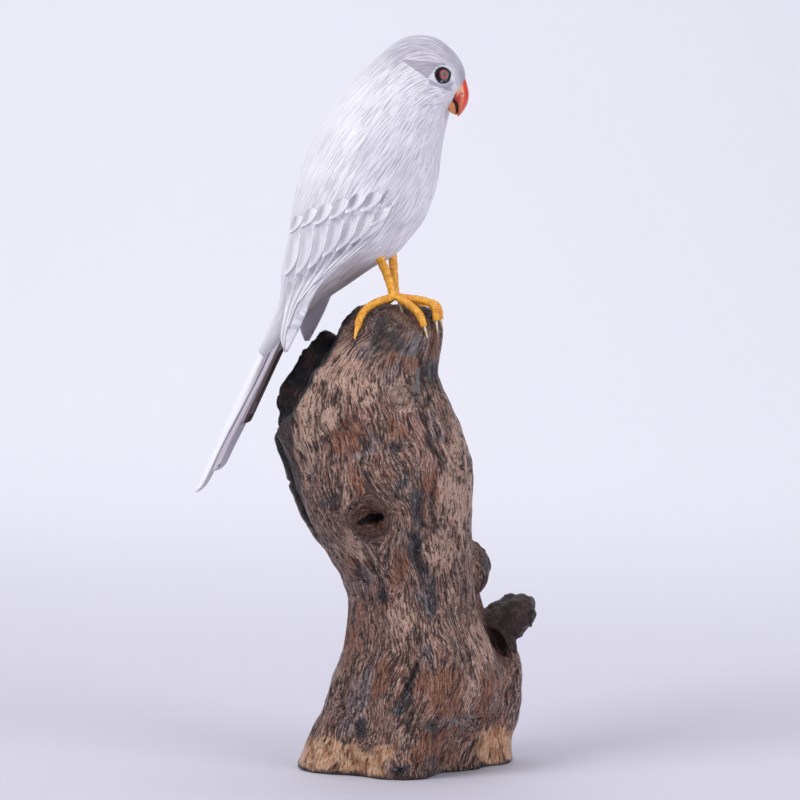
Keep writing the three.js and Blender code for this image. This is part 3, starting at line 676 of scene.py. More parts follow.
def feather_paint():
    """Each feather is dark along one side and under the row above, combed with barbs and edged in white. The
    dark beside the overlapping neighbour is partly paint and partly painted shade, and the dark under the
    row above is painted shade.
    """
    finish = Finish("feather_paint")
    t, b, ventral = finish.attribute("feather").parts()
    barb = finish.attribute("barb")
    along, across, _ = barb.parts()
    rim = finish.number("rim")
    row = finish.number("row")
    first = row.step(0.6, 0.4)
    last = row.step(1.4, 1.6)
    wobble = barb.noise((0.12, 0.12, 3.1), 2, 0.5)
    streak = barb.noise((0.04, 0.8, 3.1), 3, 0.6)
    side = 0.4 + ventral.step(0.1, 0.75) * 0.35 + first * 0.25 + last * 0.3
    # The first row shows from further down its feathers towards the back.
    begin = 0.56 - ventral * 0.3
    shown = (1 - first).larger((t - begin + (wobble - 0.5) * 0.3).step(-0.06, 0.04))
    # Painted shade: the band beside the neighbour that overlaps it, partly paint, and the dark at the root
    # under the row above.
    band = b.step(0.45, -0.2) * t.step(1.0, 0.8) * (1 - last * 0.15)
    short = last * ventral.step(0.55, 0.65)
    root = (t - short * 0.2).step(0.5, 0.2) * (1 - first) * b.step(1.0, 0.4)
    dark = (band.larger(root) * side * shown * (0.45 + wobble * 0.75)).smaller(1.0)
    comb = (along - across * 0.95 + wobble * 1.6) * (2 * math.pi / 1.5)
    line = finish.node("ShaderNodeMath", {"operation": "SINE"}, {0: comb})
    combed = (1 - last * ventral.step(0.6, 0.5)) * b.step(-0.9, -0.3) * shown
    barbs = line.step(0.1, 0.9) * combed * side
    stripes = streak.step(0.46, 0.6) * (0.15 + last * ventral.step(0.7, 0.5) * 0.3)
    white = stripes.mix(CLEAN_WHITE, (186, 182, 196))
    shaded = dark.mix(white, WEDGE_GREY)
    lined = (barbs * 0.5).mix(shaded, STROKE_GREY)
    # The white lip along the rounded side and the tip is partly white edging and partly a painted highlight
    # on the raised edge.
    lip = b.step(0.76, 0.88).larger(t.step(0.93, 0.975)) * shown
    edged = (lip * (1 - ventral.step(0.6, 0.85) * 0.8)).mix(lined, CLEAN_WHITE)
    colour = (rim * ventral.step(0.1, 0.5) * shown).mix(edged, (112, 105, 124))
    return finish.shade(Base_Color=colour, Roughness=0.48 + barbs * 0.1,
                        Normal=(line * combed).bump(0.07), Coat_Weight=0.12, Coat_Roughness=0.35)


def tail_paint():
    """White top feathers, mauve ones below them and brown short ones beneath, each with fine lines. The top
    feathers get painted mauve shade down their falling sides and on their rims, and a thin painted shadow on
    the ridge; the brown is partly paint and partly painted shade.
    """
    finish = Finish("tail_paint")
    t, b, layer = finish.attribute("feather").parts()
    x, y, z = finish.place().parts()
    rim = finish.number("rim")
    streak = finish.attribute("barb").noise((0.02, 1.3, 3.3), 3, 0.6)
    lines = streak.step(0.45, 0.6)
    out = abs(b)
    # Painted shade down the falling sides of the top feathers, and a thin painted shadow along the ridge.
    slope_shade = out.step(0.55, 0.95) * t.step(0.6, 0.3) * (0.55 + streak * 0.6)
    ridge = out.step(0.1, 0.03) * 0.3
    top = slope_shade.larger(ridge).mix(CLEAN_WHITE, TAIL_SHADE_MAUVE)
    second = (lines * 0.6).mix((214, 208, 220), (158, 147, 162))
    pale = rim.mix(second, (226, 223, 233))
    # The mark leans with the tail.
    mark_x, mark_z = TAIL_MARK
    leaning = finish.far(x * 0.8 + z * 0.25, z, (mark_x * 0.8 + mark_z * 0.25, mark_z))
    mark = leaning.step(1.9, 1.2)
    marked = (mark * y.step(-0.5, -1.5) * (0.3 + streak)).mix(pale, (84, 70, 80))
    # The short feathers beneath are brown, partly paint and partly painted shade.
    brown = lines.mix((158, 142, 146), (56, 42, 40))
    lower = layer.step(0.4, 0.6).mix(top, marked)
    deep = layer.step(1.4, 1.6).mix(lower, brown)
    # Painted mauve shade on the rim walls of the top feathers.
    colour = (rim * layer.step(0.6, 0.4) * 0.3).mix(deep, TAIL_SHADE_MAUVE)
    return finish.shade(Base_Color=colour, Roughness=0.42 + streak * 0.12, Normal=streak.bump(0.12),
                        Coat_Weight=0.15, Coat_Roughness=0.3)


def beak_paint():
    """Glossy orange red, pinker inside its bright rim, with a pale smear that is a painted highlight and a
    dark nostril.
    """
    finish = Finish("beak_paint")
    here = finish.place()
    x, _, z = here.parts()
    mottle = here.noise((0.35, 0.35, 0.35), 3, 0.55)
    inward = (x + abs(z - 367) * 0.22 + mottle).step(34.2, 33)
    rimmed = inward.mix((212, 62, 34), (222, 118, 72))
    red = (finish.far(x, z, BEAK_FLUSH) + mottle).step(3.9, 2.4)
    bright = (red * 0.9).mix(rimmed, (204, 34, 22))
    # Painted highlight: a pale pink smear on the upper beak.
    highlight_x, highlight_z = BEAK_HIGHLIGHT
    highlight_far = abs(x - highlight_x - (z - highlight_z) * 0.25) + abs(z - highlight_z) * 0.3
    smear = (highlight_far + mottle).step(2.2, 1.3)
    highlighted = (smear * 0.9).mix(bright, (240, 190, 164))
    tip = (z.step(361, 356) * 0.6).mix(highlighted, (190, 74, 40))
    nostril = finish.far(x, z, NOSTRIL).step(0.85, 0.5)
    colour = nostril.mix(tip, (50, 22, 40))
    return finish.shade(Base_Color=colour, Roughness=0.24 + mottle * 0.1, Normal=mottle.bump(0.3),
                        Coat_Weight=0.6, Coat_Roughness=0.1)


def jaw_paint():
    """Glossy orange of the lower beak, paler along its middle as a painted highlight."""
    finish = Finish("jaw_paint")
    here = finish.place()
    x, _, z = here.parts()
    mottle = here.noise((0.4, 0.4, 0.4), 3, 0.55)
    # Painted highlight along the middle of the lower beak.
    pale = (abs(x - 24.5 - (362 - z) * 0.3) + mottle).step(2.4, 1.0) * 0.7
    colour = pale.mix((212, 116, 52), (234, 168, 104))
    return finish.shade(Base_Color=colour, Roughness=0.26 + mottle * 0.1, Normal=mottle.bump(0.2),
                        Coat_Weight=0.5, Coat_Roughness=0.12)


def gape_paint():
    """Black of the line between the halves of the beak."""
    finish = Finish("gape_paint")
    mottle = finish.place().noise((0.8, 0.8, 0.8), 2, 0.5)
    colour = mottle.mix((18, 12, 12), (44, 24, 20))
    return finish.shade(Base_Color=colour, Roughness=0.4 + mottle * 0.2, Normal=mottle.bump(0.2))


def eye_paint():
    """Gloss black with a crimson ring round a blue-grey pupil that has a black crescent. The blue-grey is a
    painted reflection on the black pupil, and a painted glint sits on the lower part of the dome.
    """
    finish = Finish("eye_paint")
    out = finish.number("out")
    here = finish.place()
    x, _, z = here.parts()
    wobble = here.noise((0.7, 0.7, 0.7), 2, 0.5) - 0.5
    inner, outer = EYE_RING
    ring = (out + wobble).step(inner - 0.1, inner + 0.1) * (out + wobble).step(outer + 0.1, outer - 0.15)
    black = wobble.step(0.05, 0.2).mix((6, 6, 10), (30, 30, 44))
    ringed = ring.mix(black, (148, 6, 30))
    # Painted reflection: the pupil is blue-grey except for a black crescent.
    pupil = (out + wobble).step(1.35, 1.15) * (x - EYE_PLACE[0]).step(0.7, 0.3)
    colour = pupil.mix(ringed, (78, 80, 110))
    # Painted glint on the lower part of the dome.
    glint = finish.far(x, z, (EYE_PLACE[0] - 0.4, EYE_PLACE[1] - 3.5)).step(0.8, 0.3)
    lit = (glint * 0.7).mix(colour, (140, 146, 184))
    return finish.shade(Base_Color=lit, Roughness=0.26 + wobble * 0.1, Normal=wobble.bump(0.3),
                        Specular_IOR_Level=0.3, Coat_Weight=0.25, Coat_Roughness=0.06)


def putty_paint():
    """Yellow gloss over ringed putty, darker in the wrinkles."""
    finish = Finish("putty_paint")
    wrinkle = finish.number("wrinkle")
    here = finish.place()
    mottle = here.noise((0.45, 0.45, 0.45), 3, 0.55)
    grit = here.noise((2.2, 2.2, 2.2), 2, 0.5)
    yellow = mottle.step(0.35, 0.65).mix((226, 148, 22), (246, 180, 48))
    worn = ((mottle * grit).step(0.34, 0.42) * 0.6).mix(yellow, (250, 212, 120))
    colour = (wrinkle.step(0.2, 0.85) * 0.9).mix(worn, (168, 92, 14))
    return finish.shade(Base_Color=colour, Roughness=0.34 + grit * 0.12, Normal=grit.bump(0.14),
                        Coat_Weight=0.3, Coat_Roughness=0.18)


def claw_paint():
    """Chalky white claws, stained with yellow."""
    finish = Finish("claw_paint")
    mottle = finish.place().noise((0.9, 0.9, 0.5), 3, 0.6)
    colour = mottle.step(0.42, 0.6).mix((224, 216, 196), (216, 170, 88))
    return finish.shade(Base_Color=colour, Roughness=0.4 + mottle * 0.15, Normal=mottle.bump(0.15))


def pin_metal():
    """Dull steel of the pins, smeared with paint."""
    finish = Finish("pin_metal")
    mottle = finish.place().noise((1.2, 1.2, 0.4), 3, 0.6)
    smear = mottle.step(0.52, 0.6)
    colour = smear.mix((150, 148, 132), (178, 150, 84))
    return finish.shade(Base_Color=colour, Metallic=0.8 - smear * 0.7, Roughness=0.35 + mottle * 0.2,
                        Normal=mottle.bump(0.1))


def root_wood():
    """Weathered wood under thin varnish: fibres, pores, stains, charred hollows and raw wood at the foot.
    The charred dark is partly the wood's and partly painted shade, as in cracks, pits, scars and along the
    bottom edge, and painted glints sit on the dark zones.
    """
    finish = Finish("root_wood")
    grain = finish.attribute("grain")
    knot, char_and_shade, raw = finish.attribute("wear").parts()
    tan, grey, rust = finish.attribute("zone").parts()
    soot, branch, hollow = finish.attribute("dark").parts()
    here = finish.place()
    crumb = here.noise((1.0, 1.0, 0.75), 4, 0.72, 0.9)
    fibre = grain.noise((1.3, 1.3, 0.14), 4, 0.66, 0.5) * 0.7 + crumb * 0.3
    thread = grain.noise((2.8, 2.8, 0.3), 2, 0.6)
    fleck = grain.noise((0.8, 0.8, 0.15), 3, 0.62, 0.8)
    band = grain.noise((0.3, 0.3, 0.07), 4, 0.6, 0.6)
    blot = here.noise((0.13, 0.13, 0.1), 4, 0.6, 0.5)
    fray = band * 1.4 + blot * 0.8 + fibre * 0.8 - 1.5

    def zone(mask):
        return (mask + fray * 1.3).step(0.3, 0.75)

    black = (soot + fray * 1.6).step(0.25, 1.0)
    quiet = black.larger(knot * 0.9).larger(branch).larger(zone(rust) * 0.55)
    brown = band.step(0.4, 0.6).mix((78, 40, 32), (160, 108, 90))
    # Tan zones: lighter wood, and at the right edge a painted highlight.
    tanned = (zone(tan) * 0.9).mix(brown, (222, 178, 156))
    # Grey zones: grey wood, and in places painted glints on the varnish.
    greyed = (zone(grey) * 0.7).mix(tanned, (114, 102, 114))
    rusty = (zone(rust) * 0.8).mix(greyed, (150, 84, 44))
    branchy = (branch * 0.95).mix(rusty, (54, 28, 22))
    ringed = (knot * (0.6 + band * 0.6)).mix(branchy, (94, 46, 30))
    sooty = (black * 0.95).mix(ringed, (27, 21, 25))
    light = (fibre.step(0.515, 0.575) * (0.66 - quiet * 0.58)).mix(sooty, (234, 196, 176))
    threaded = (thread.step(0.57, 0.66) * (0.6 - quiet * 0.55)).mix(light, (246, 230, 224))
    slit = fibre.step(0.48, 0.435) * 0.95
    dark = slit.mix(threaded, (42, 22, 17))
    pore = fleck.step(0.41, 0.35).larger(crumb.step(0.39, 0.33))
    pored = (pore * 0.92).mix(dark, (22, 12, 11))
    horn = (blot.step(0.5, 0.62) * 0.8).mix((11, 9, 12), (68, 38, 30))
    charred = (fibre.step(0.57, 0.64) * 0.22).mix(horn, (84, 78, 92))
    # Charred places: dark wood and painted shade together.
    charred_and_shaded = (char_and_shade * (0.85 + hollow * 0.15)).mix(pored, charred)
    # Painted glints on the dark and charred zones.
    painted_glint = thread.step(0.56, 0.64) * (black * 0.55).larger(char_and_shade * 0.2)
    glinted = painted_glint.mix(charred_and_shaded, (178, 176, 196))
    pale = fibre.step(0.42, 0.58).mix((212, 142, 98), (255, 220, 184))
    stained = (blot.step(0.5, 0.6) * 0.6).mix(pale, (150, 84, 46))
    speckled = fleck.step(0.43, 0.35).mix(stained, (56, 30, 20))
    colour = raw.mix(glinted, speckled)

    height = fibre + crumb * 0.9 + thread * 0.4 - pore * 0.4 + band * 0.8
    varnish = band.step(0.45, 0.65) * 0.16
    varnished = (0.2 + black * 0.4) * (1 - char_and_shade * 0.8)
    return finish.shade(Base_Color=colour, Roughness=0.48 - varnish - black * 0.1,
                        Normal=height.bump(1.9), Coat_Weight=varnished, Coat_Roughness=0.14)


def floor_finish():
    """Pale lavender sweep that the carving stands on, painted darker near the front and lighter towards the
    wall as painted shade and light.
    """
    finish = Finish("studio_sweep")
    here = finish.place()
    _, y, _ = here.parts()
    cloud = here.noise((0.002, 0.002, 0.002), 2, 0.5)
    # Painted shade and light: the floor is darker near the front and the wall lighter.
    colour = (y + cloud * 100).step(100, 1500).mix((198, 196, 209), (232, 232, 240))
    return finish.shade(Base_Color=colour, Roughness=0.7)


# The bird's body and wings


def rib_at(place):
    row = through(RIBS, place)
    return (row[..., 0:2] + row[..., 2:4]) / 2, (row[..., 0:2] - row[..., 2:4]) / 2, row[..., 4]


def place_on_body(x, z):
    """For points of the side view: place among the ribs, height on the rib from -1 to 1, the rib's half
    width and whether a rib meets the point."""
    spot = joined(x, z)

    def side(place):
        middle, reach, _ = rib_at(place)
        away = spot - middle
        return away[..., 0] * reach[..., 1] - away[..., 1] * reach[..., 0]

    low = np.zeros(np.shape(x))
    high = np.full(np.shape(x), len(RIBS) - 1.0)
    inside = (side(low) <= 0) & (side(high) >= 0)
    for _ in range(HALVINGS):
        guess = (low + high) / 2
        before = side(guess) < 0
        low = np.where(before, guess, low)
        high = np.where(before, high, guess)
    middle, reach, half = rib_at(low)
    height = ((spot - middle) * reach).sum(-1) / (reach * reach).sum(-1)
    return low, height, half, inside


def body_half_width(x, z):
    _, height, half, inside = place_on_body(x, z)
    return np.where(inside, half * np.sqrt(np.clip(1 - height ** 2, 0, 1)), 0)


def wing_point(side, u, v, rise):
    """Points of a wing's outer face: u from shoulder to tip, v from the back edge to the lower edge."""
    u, v, rise = np.broadcast_arrays(u, v, rise)
    edges = through(WING_EDGES, np.interp(u, WING_AT, np.arange(len(WING_AT))))
    x = lerp((edges[..., 0], edges[..., 2]), v)
    lift = LEFT_TIP_LIFT * smooth(u, 0.6, 0.85) if side > 0 else 0
    z = lerp((edges[..., 1], edges[..., 3]), v) + lift
    body = body_half_width(x, z)
    on_body = body + lerp(WING_RISE, smooth(u, 0.02, 0.35))
    along = smooth(u, WING_FREE, 1)
    free = lerp(WING_REACH, along) - lerp(WING_INSET, along) * (1 - v) ** 2
    eased = lerp((on_body, np.maximum(on_body, free)), smooth(u, WING_FREE - 0.08, WING_FREE + 0.08))
    return joined(x, side * (eased + rise), z), body


def body_piece():
    clay = Clay()
    middle, reach, half = rib_at(np.linspace(0, len(RIBS) - 1, BODY_GRID[0]))
    angle = angles(BODY_GRID[1])[None, :]
    flat = middle[:, None] + reach[:, None] * np.cos(angle)[..., None]
    clay.add_rings(joined(flat[..., 0], half[:, None] * np.sin(angle), flat[..., 1]))
    u, v = grid(WING_GRID, 0)
    for side in (-1, 1):
        outer, body = wing_point(side, u, v, 0)
        inner = outer.copy()
        reach = np.abs(outer[..., 1])
        clear = smooth(reach - body, *WING_GAP)
        thin = lerp((1, 0.75), smooth(v, 0.7, 1) * clear)
        inner[..., 1] = side * np.maximum(reach - lerp(WING_DEPTH, clear) * thin, 0.5)
        clay.add_rings(closed(outer, inner))
    piece = clay.piece("bird_body")
    melt(piece, *BODY_MELT)
    points = points_of(piece)
    place, height, half, within = place_on_body(points[:, 0], points[:, 2])
    level = np.clip(height, -1, 1)
    turn = np.arctan2(np.abs(points[:, 1]) / half, level)
    paint_values(piece, "flow", joined(place * STROKE_SCALE[0], turn * STROKE_SCALE[1], level))
    width = half * np.sqrt(1 - level ** 2)
    inward = smooth(-normals_of(piece)[:, 1] * np.sign(points[:, 1]), 0.1, 0.5)
    beyond = np.abs(points[:, 1]) - np.where(within, width, 0)
    paint_values(piece, "inner", inward * smooth(beyond, 3, 6))
    paint_values(piece, "skin", smooth(np.abs(points[:, 1]) - width, 2.5, 1))
    return piece


def feather_clay(clay, side, row, start, end, middle, half, rise, seed):
    """One feather: a thin leaf that starts under the row above it and lifts towards its tip, whose lower
    side is round and whose upper side runs straight."""
    step, b = grid(FEATHER_GRID, -1)
    t = 1 - (1 - step) ** 1.7
    u = start + (end - start) * t
    rounding = np.sqrt(1 - np.clip((t - 0.6) / 0.4, 0, 1) ** 2)
    width = np.maximum(half * np.minimum(1, 0.75 + t) * rounding, 0.003)
    v = np.clip(middle - FEATHER_HOOK * half * (1 - rounding) + b * width, 0, 1)
    # The first row comes out of the plumage further down its feathers towards the back.
    hidden = 0.48 - 0.3 * middle if row == 0 else 0
    out = np.clip((t - hidden) / (1 - hidden), 0, 1)
    calm = 1 - 0.75 * smooth(v, 0.8, 1)
    lift = lerp((-0.7, rise * calm), out) + 0.4 * (1 - b ** 2) * smooth(out, 0, 0.2) * calm
    lift += FEATHER_TILT * b * smooth(out, 0.1, 0.4) * calm
    top, _ = wing_point(side, u, v, lift)
    sink = lerp((4, 1.6), smooth(u, 0.5, 0.8))
    bottom, _ = wing_point(side, u, v, -sink)
    run = np.linalg.norm(np.diff(top, axis=0), axis=-1)
    along = np.concatenate([np.zeros_like(run[:1]), np.cumsum(run, axis=0)])
    spread = np.linalg.norm(top[:, -1] - top[:, 0], axis=-1)[:, None] / 2
    barb = joined(along, b * spread, np.full_like(t, seed))
    clay.add_leaf(top, bottom, feather=joined(t, b, v), barb=barb, row=np.full_like(t, row))


def wing_piece(name, side):
    clay = Clay()
    for row, kind in enumerate(FEATHER_ROWS):
        count = len(kind["ends"])
        half = FEATHER_OVERLAP / 2 / count
        for k, end in enumerate(kind["ends"]):
            middle = (k + 0.5) / count
            start = lerp(kind["starts"], middle)
            feather_clay(clay, side, row, start, end, middle, half, kind["rise"], row * 11 + k)
    return clay.piece(name)


def tail_piece():
    along = np.array([TAIL_TIP[0] - TAIL_ROOT[0], 0, TAIL_TIP[1] - TAIL_ROOT[1]])
    down = unit(np.array([-along[2], 0, along[0]]))
    clay = Clay()
    for layer, (broad, narrow, drop, length, thickness, point) in enumerate(TAIL_LAYERS):
        t, b = grid(TAIL_GRID, -1)
        taper = np.sqrt(np.maximum(0.02, 1 - np.clip((t - 1 + point) / point, 0, 1) ** 2))
        across = b * lerp((broad, narrow), smooth(t * length, *TAIL_NARROWS)) * taper
        ridge = TAIL_SLOPE * (np.sqrt(across ** 2 + 1.5) - 0.7)
        grids = []
        for depth in (0, thickness):
            fall = (drop + depth + ridge)[..., None] * down
            spot = np.array([TAIL_ROOT[0], 0, TAIL_ROOT[1]]) + t[..., None] * length * along + fall
            spot[..., 1] = across
            grids.append(spot)
        feather = joined(t * length, b, np.full_like(t, layer))
        barb = joined(t * length * TAIL_LENGTH, across, np.full_like(t, layer * 7))
        clay.add_leaf(*grids, feather=feather, barb=barb)
    return clay.piece("tail_feathers")


# Beak and eyes


def beak_piece(name, sections):
    rows = through(sections, np.linspace(0, len(sections) - 1, BEAK_GRID[0]))
    angle = angles(BEAK_GRID[1])[None, :]
    t = (1 - np.cos(angle)) / 2
    x = rows[:, None, 0] + (rows[:, None, 2] - rows[:, None, 0]) * t
    z = rows[:, None, 1] + (rows[:, None, 3] - rows[:, None, 1]) * t
    y = rows[:, None, 4] * np.sin(angle)
    clay = Clay()
    clay.add_rings(joined(x, y, z))
    return clay.piece(name)


def gape_piece():
    """The black line in the groove between the halves, down both sides of the beak."""
    clay = Clay()
    for side in (-1, 1):
        clay.add_rings(sweep([(x, side * y, z, radius) for x, y, z, radius in GAPE], 12, 0.3))
    return clay.piece("beak_gape")


def eye_piece(name, side):
    """A low dome, tangent to the head."""
    x, z = EYE_PLACE
    here = body_half_width(np.array([x, x + 0.5, x]), np.array([z, z, z + 0.5]))
    outward = unit(np.array([-(here[1] - here[0]) / 0.5, side, -(here[2] - here[0]) / 0.5]))
    right = unit(np.cross(np.array([0, 0, 1]), outward))
    up = np.cross(outward, right)
    centre = np.array([x, side * here[0], z])
    dome = np.linspace(0.05, 1, EYE_GRID[0])
    out = np.concatenate([dome, [1, 0.98]])
    rise = np.concatenate([np.sqrt(1 - dome ** 2.6) * EYE_RISE, [-sink for sink in EYE_SINK]])
    angle = angles(EYE_GRID[1])
    wobble = 1 + 0.025 * np.sin(3 * angle + 0.6) + 0.015 * np.sin(5 * angle)
    radius = (out[:, None] * EYE_RADIUS * wobble[None, :])[..., None]
    round_about = right * np.cos(angle)[:, None] + up * np.sin(angle)[:, None]
    clay = Clay()
    clay.add_rings(centre + radius * round_about[None] + rise[:, None, None] * outward, out=radius[..., 0])
    return clay.piece(name)


# Legs


def leg_piece(name, leg):
    """Shank and toes melted into one, then wrinkled: rings round the toes, a twist down the shank."""
    clay = Clay()
    clay.add_rings(sweep(leg["shank"], 24, 0.5))
    for toe in leg["toes"]:
        clay.add_rings(sweep(toe, 24, 0.5))
    piece = clay.piece(name)
    melt(piece, *LEG_MELT)
    points = points_of(piece)
    along, _ = nearest_on([leg["shank"], *leg["toes"]], points)
    on_shank = along < LINE_APART
    wander = noise_at(points / 2.4, 7.3)
    ring = np.sin((along + 0.55 * wander) * (2 * np.pi / WRINKLE_STEP))
    twist = np.sin(np.arctan2(points[:, 1] - np.mean([p[1] for p in leg["shank"]]), points[:, 0]) * 3
                   + points[:, 2] * 0.9 + wander * 2)
    coarse = noise_at(points / 1.1, 3.1)
    groove = np.where(on_shank, smooth(twist, 0.1, 1) * 0.6, smooth(ring, 0.15, 0.95))
    groove *= 0.65 + 0.35 * noise_at(points / 3.5, 11.7)
    points = points + normals_of(piece) * (0.18 * coarse - 0.46 * groove + 0.14)[:, None]
    move_points(piece, points)
    paint_values(piece, "wrinkle", groove)
    return piece


def claws_piece(name, toes, claw):
    clay = Clay()
    for toe in toes:
        before, end = (np.array(point[:3], float) for point in toe[-2:])
        ahead = unit(end - before)
        line = []
        for far, radius in claw:
            curl = np.array([0, 0, CLAW_CURL * max(far, 0) ** 2])
            line.append((*(end + ahead * far - curl), radius))
        clay.add_rings(sweep(line, 14, 0.3))
    return clay.piece(name)


def pins_piece():
    clay = Clay()
    for leg in LEGS.values():
        clay.add_rings(sweep(leg["pin"], 18, 0.6))
    return clay.piece("leg_pins")


# Stump


def turned(points, angle):
    c, s = math.cos(angle), math.sin(angle)
    x, y, z = points.T
    return joined(c * x - s * y, s * x + c * y, z)


def grain_of(points):
    """Coordinates that run with the grain: across, depth and along, bent round the knots."""
    x, y, z = points.T
    left, right, front, rear = (np.interp(z, TRUNK[:, 0], TRUNK[:, k]) for k in range(1, 5))
    across = (x - (left + right) / 2) / (right - left) * GRAIN_WIDTH
    deep = (y - (front + rear) / 2) / (rear - front) * GRAIN_DEPTH
    along = z.copy()
    across = across + 4.5 * noise_at(points / (14, 14, 22), 3.3)
    rings = np.zeros(len(points))
    for knot_x, knot_z, radius, facing, dark in KNOTS:
        shows = smooth(y * facing, 4, 16)
        dx, dz = x - knot_x, z - knot_z
        square = np.maximum(dx ** 2 + dz ** 2, 1e-3)
        pull = np.minimum(radius ** 2 / square, 1.0) * shows
        reach = np.exp(-np.maximum(np.sqrt(square) - radius, 0) / (1.6 * radius))
        across = across - pull * dx * reach
        along = along + pull * dz * reach
        inner = smooth(np.sqrt(square), radius * 1.1, radius * 0.7) * shows
        swirl = np.sqrt(square) + 2 * noise_at(points / 5, 2.2) + 0.8 * noise_at(points / 2, 7.7)
        across = across * (1 - inner) + swirl * 1.4 * inner
        rings = np.maximum(rings, inner * dark)
    return joined(across, deep, along), rings


def zone_masks(points):
    """1 inside the coloured zones of the front and soft round them. The back has the same zones mirrored."""
    wide_x, wide_z = noise_at(points / 13, 21.3), noise_at(points / 13, 44.7)
    fine_x, fine_z = noise_at(points / (4, 4, 7), 8.6), noise_at(points / (4, 4, 7), 31.9)
    x, y, z = points.T
    front = smooth(y, 8, -8)
    x = x + 6 * wide_x + 2.5 * fine_x
    z = z + 10 * wide_z + 5 * fine_z
    masks = {}
    for name, spots in ZONES.items():
        total = np.zeros(len(points))
        for share, across in ((front, x), (1 - front, -x - 16)):
            for spot_x, spot_z, half_width, half_height, lean in spots:
                dz = z - spot_z
                dx = across - spot_x - lean * dz
                far = np.sqrt((dx / half_width) ** 2 + (dz / half_height) ** 2)
                total = np.maximum(total, share * smooth(far, 1.5, 0.2))
        masks[name] = total
    return masks


def hollow_mask(points):
    """1 in the charred hollow at the upper left, 0 outside it. Its dark is partly painted shade."""
    x, y, z = points.T
    along = unit(HOLLOW_FOOT - HOLLOW_TOP)
    depth = (x - HOLLOW_TOP[0]) * -along[1] + (z - HOLLOW_TOP[1]) * along[0]
    ragged = 1.5 * noise_at(points / 6, 5.5)
    on_floor = smooth(depth + ragged, HOLLOW_FLOOR + 2.2, HOLLOW_FLOOR + 0.6)
    ahead = smooth(y + ragged, HOLLOW_REAR + 2.5, HOLLOW_REAR + 0.8)
    cut = on_floor * ahead * smooth(z, 176, 190)
    _, trough = nearest_on([HOLLOW_TROUGH, EDGE_GROOVE], points, 16)
    return np.maximum(cut, smooth(trough + 0.15 * ragged, 1.45, 1.1))


def scar_depth(points):
    x, y, z = points.T
    total = np.zeros(len(points))
    wander = noise_at(points / 7, 9.1)
    for scar_x, scar_z, length, width, lean, depth in SCARS:
        dz = z - scar_z
        dx = x - scar_x - lean * dz + wander * 1.6
        body = np.clip(1 - (dz / length) ** 2, 0, 1)
        shape = np.exp(-(dx / width) ** 2) * body * smooth(-y, 4, 14)
        total = np.maximum(total, shape * depth)
    slot_x, slot_z, length, width, tilt, depth = KNOT_SLOT
    dx, dz = x - slot_x, z - slot_z + wander
    reach = ((dx * math.cos(tilt) + dz * math.sin(tilt)) / length) ** 2
    reach += ((dz * math.cos(tilt) - dx * math.sin(tilt)) / width) ** 2
    return np.maximum(total, depth * smooth(reach, 1.2, 0.5) * smooth(-y, 4, 14))


def stump_piece():
    piece = put_in_scene("stump_wood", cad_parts["stump"].data.copy())
    melt(piece, *STUMP_MELT)
    points = points_of(piece)
    normals = normals_of(piece)
    own = turned(points, -STUMP_TURN)
    grain, rings = grain_of(own)
    hollow = hollow_mask(own)
    scars = scar_depth(own)
    zones = zone_masks(own)
    x, y, z = own.T
    # The broken branch, its lobe and the hollow are more rugged than the rest.
    branch = np.prod([smooth(at, *fade) for at, fade in zip((x, y, z), BRANCH_BEGINS)], axis=0)
    rugged = np.maximum(hollow, branch)
    lumps = noise_at(own / 17, 1.7)
    knobs = noise_at(own / (7, 7, 12), 14.2)
    ridges = 1 - np.abs(noise_at(grain / (5.5, 5.5, 42), 4.2)) * 2.4
    fibres = noise_at(grain / (2.6, 2.6, 9), 6.4)
    pits = smooth(noise_at(grain / (2.1, 2.1, 5), 17.9), 0.3, 0.62)
    pits *= smooth(noise_at(own / 15, 5.1), -0.25, 0.3)
    crease = np.abs(noise_at(grain / (7, 7, 40), 8.8))
    cracks = smooth(crease, 0.075, 0.0) * smooth(noise_at(own / 24, 3.9), -0.2, 0.15)
    ring_relief = np.sin(grain[:, 0] * 1.9) * rings
    relief = (1.1 * lumps + 0.4 * ridges + (0.55 + 0.9 * knobs * rugged) * fibres + 1.7 * knobs * rugged
              + 0.5 * knobs - 1.6 * cracks - 0.9 * pits - scars + 0.9 * ring_relief)
    calm = smooth(points[:, 2], 0.4, 3.5)
    moved = points + normals * ((relief - 0.2) * calm)[:, None]
    moved[:, 2] = np.maximum(moved[:, 2], 0.0)
    move_points(piece, moved)
    edge = 6 * noise_at(own / 11, 12.1) + 2.5 * noise_at(own / 3.5, 13.4)
    left = smooth(x + edge, *RAW_LEFT[0]) * smooth(z + 0.8 * edge, *RAW_LEFT[1])
    right = smooth(x + 0.6 * edge, *RAW_RIGHT[0]) * smooth(z + 1.2 * edge, *RAW_RIGHT[1])
    raw = np.maximum(left, right) * smooth(-y, *RAW_FRONT) * smooth(z + 0.3 * edge, 1.0, 3.2)
    # Painted shade along the bottom edge, where it meets the floor.
    foot = smooth(z + 0.4 * edge, 3.2, 0.8)
    lean = STRIP_LEAN[0] * np.maximum(0, STRIP_LEAN[1] - z)
    strip = smooth(x + 0.3 * edge - lean, *STRIP_EDGE) * smooth(z, *STRIP_FOOT)
    # Painted shade darkens cracks, pits and scars as well as their dark wood; the charred value gathers them
    # with the hollow, the bottom edge and the strip.
    deep = np.maximum(smooth(scars, 0.25, 1.0), 0.8 * np.maximum(cracks, pits))
    char_and_shade = np.clip(np.maximum.reduce([hollow, foot, deep, 0.95 * strip * smooth(z, *STRIP_TOP)]), 0, 1)
    paint_values(piece, "grain", grain)
    paint_values(piece, "wear", joined(rings, char_and_shade, raw))
    paint_values(piece, "zone", joined(zones["tan"], zones["grey"], zones["rust"]))
    paint_values(piece, "dark", joined(zones["soot"], branch, hollow))
    return piece


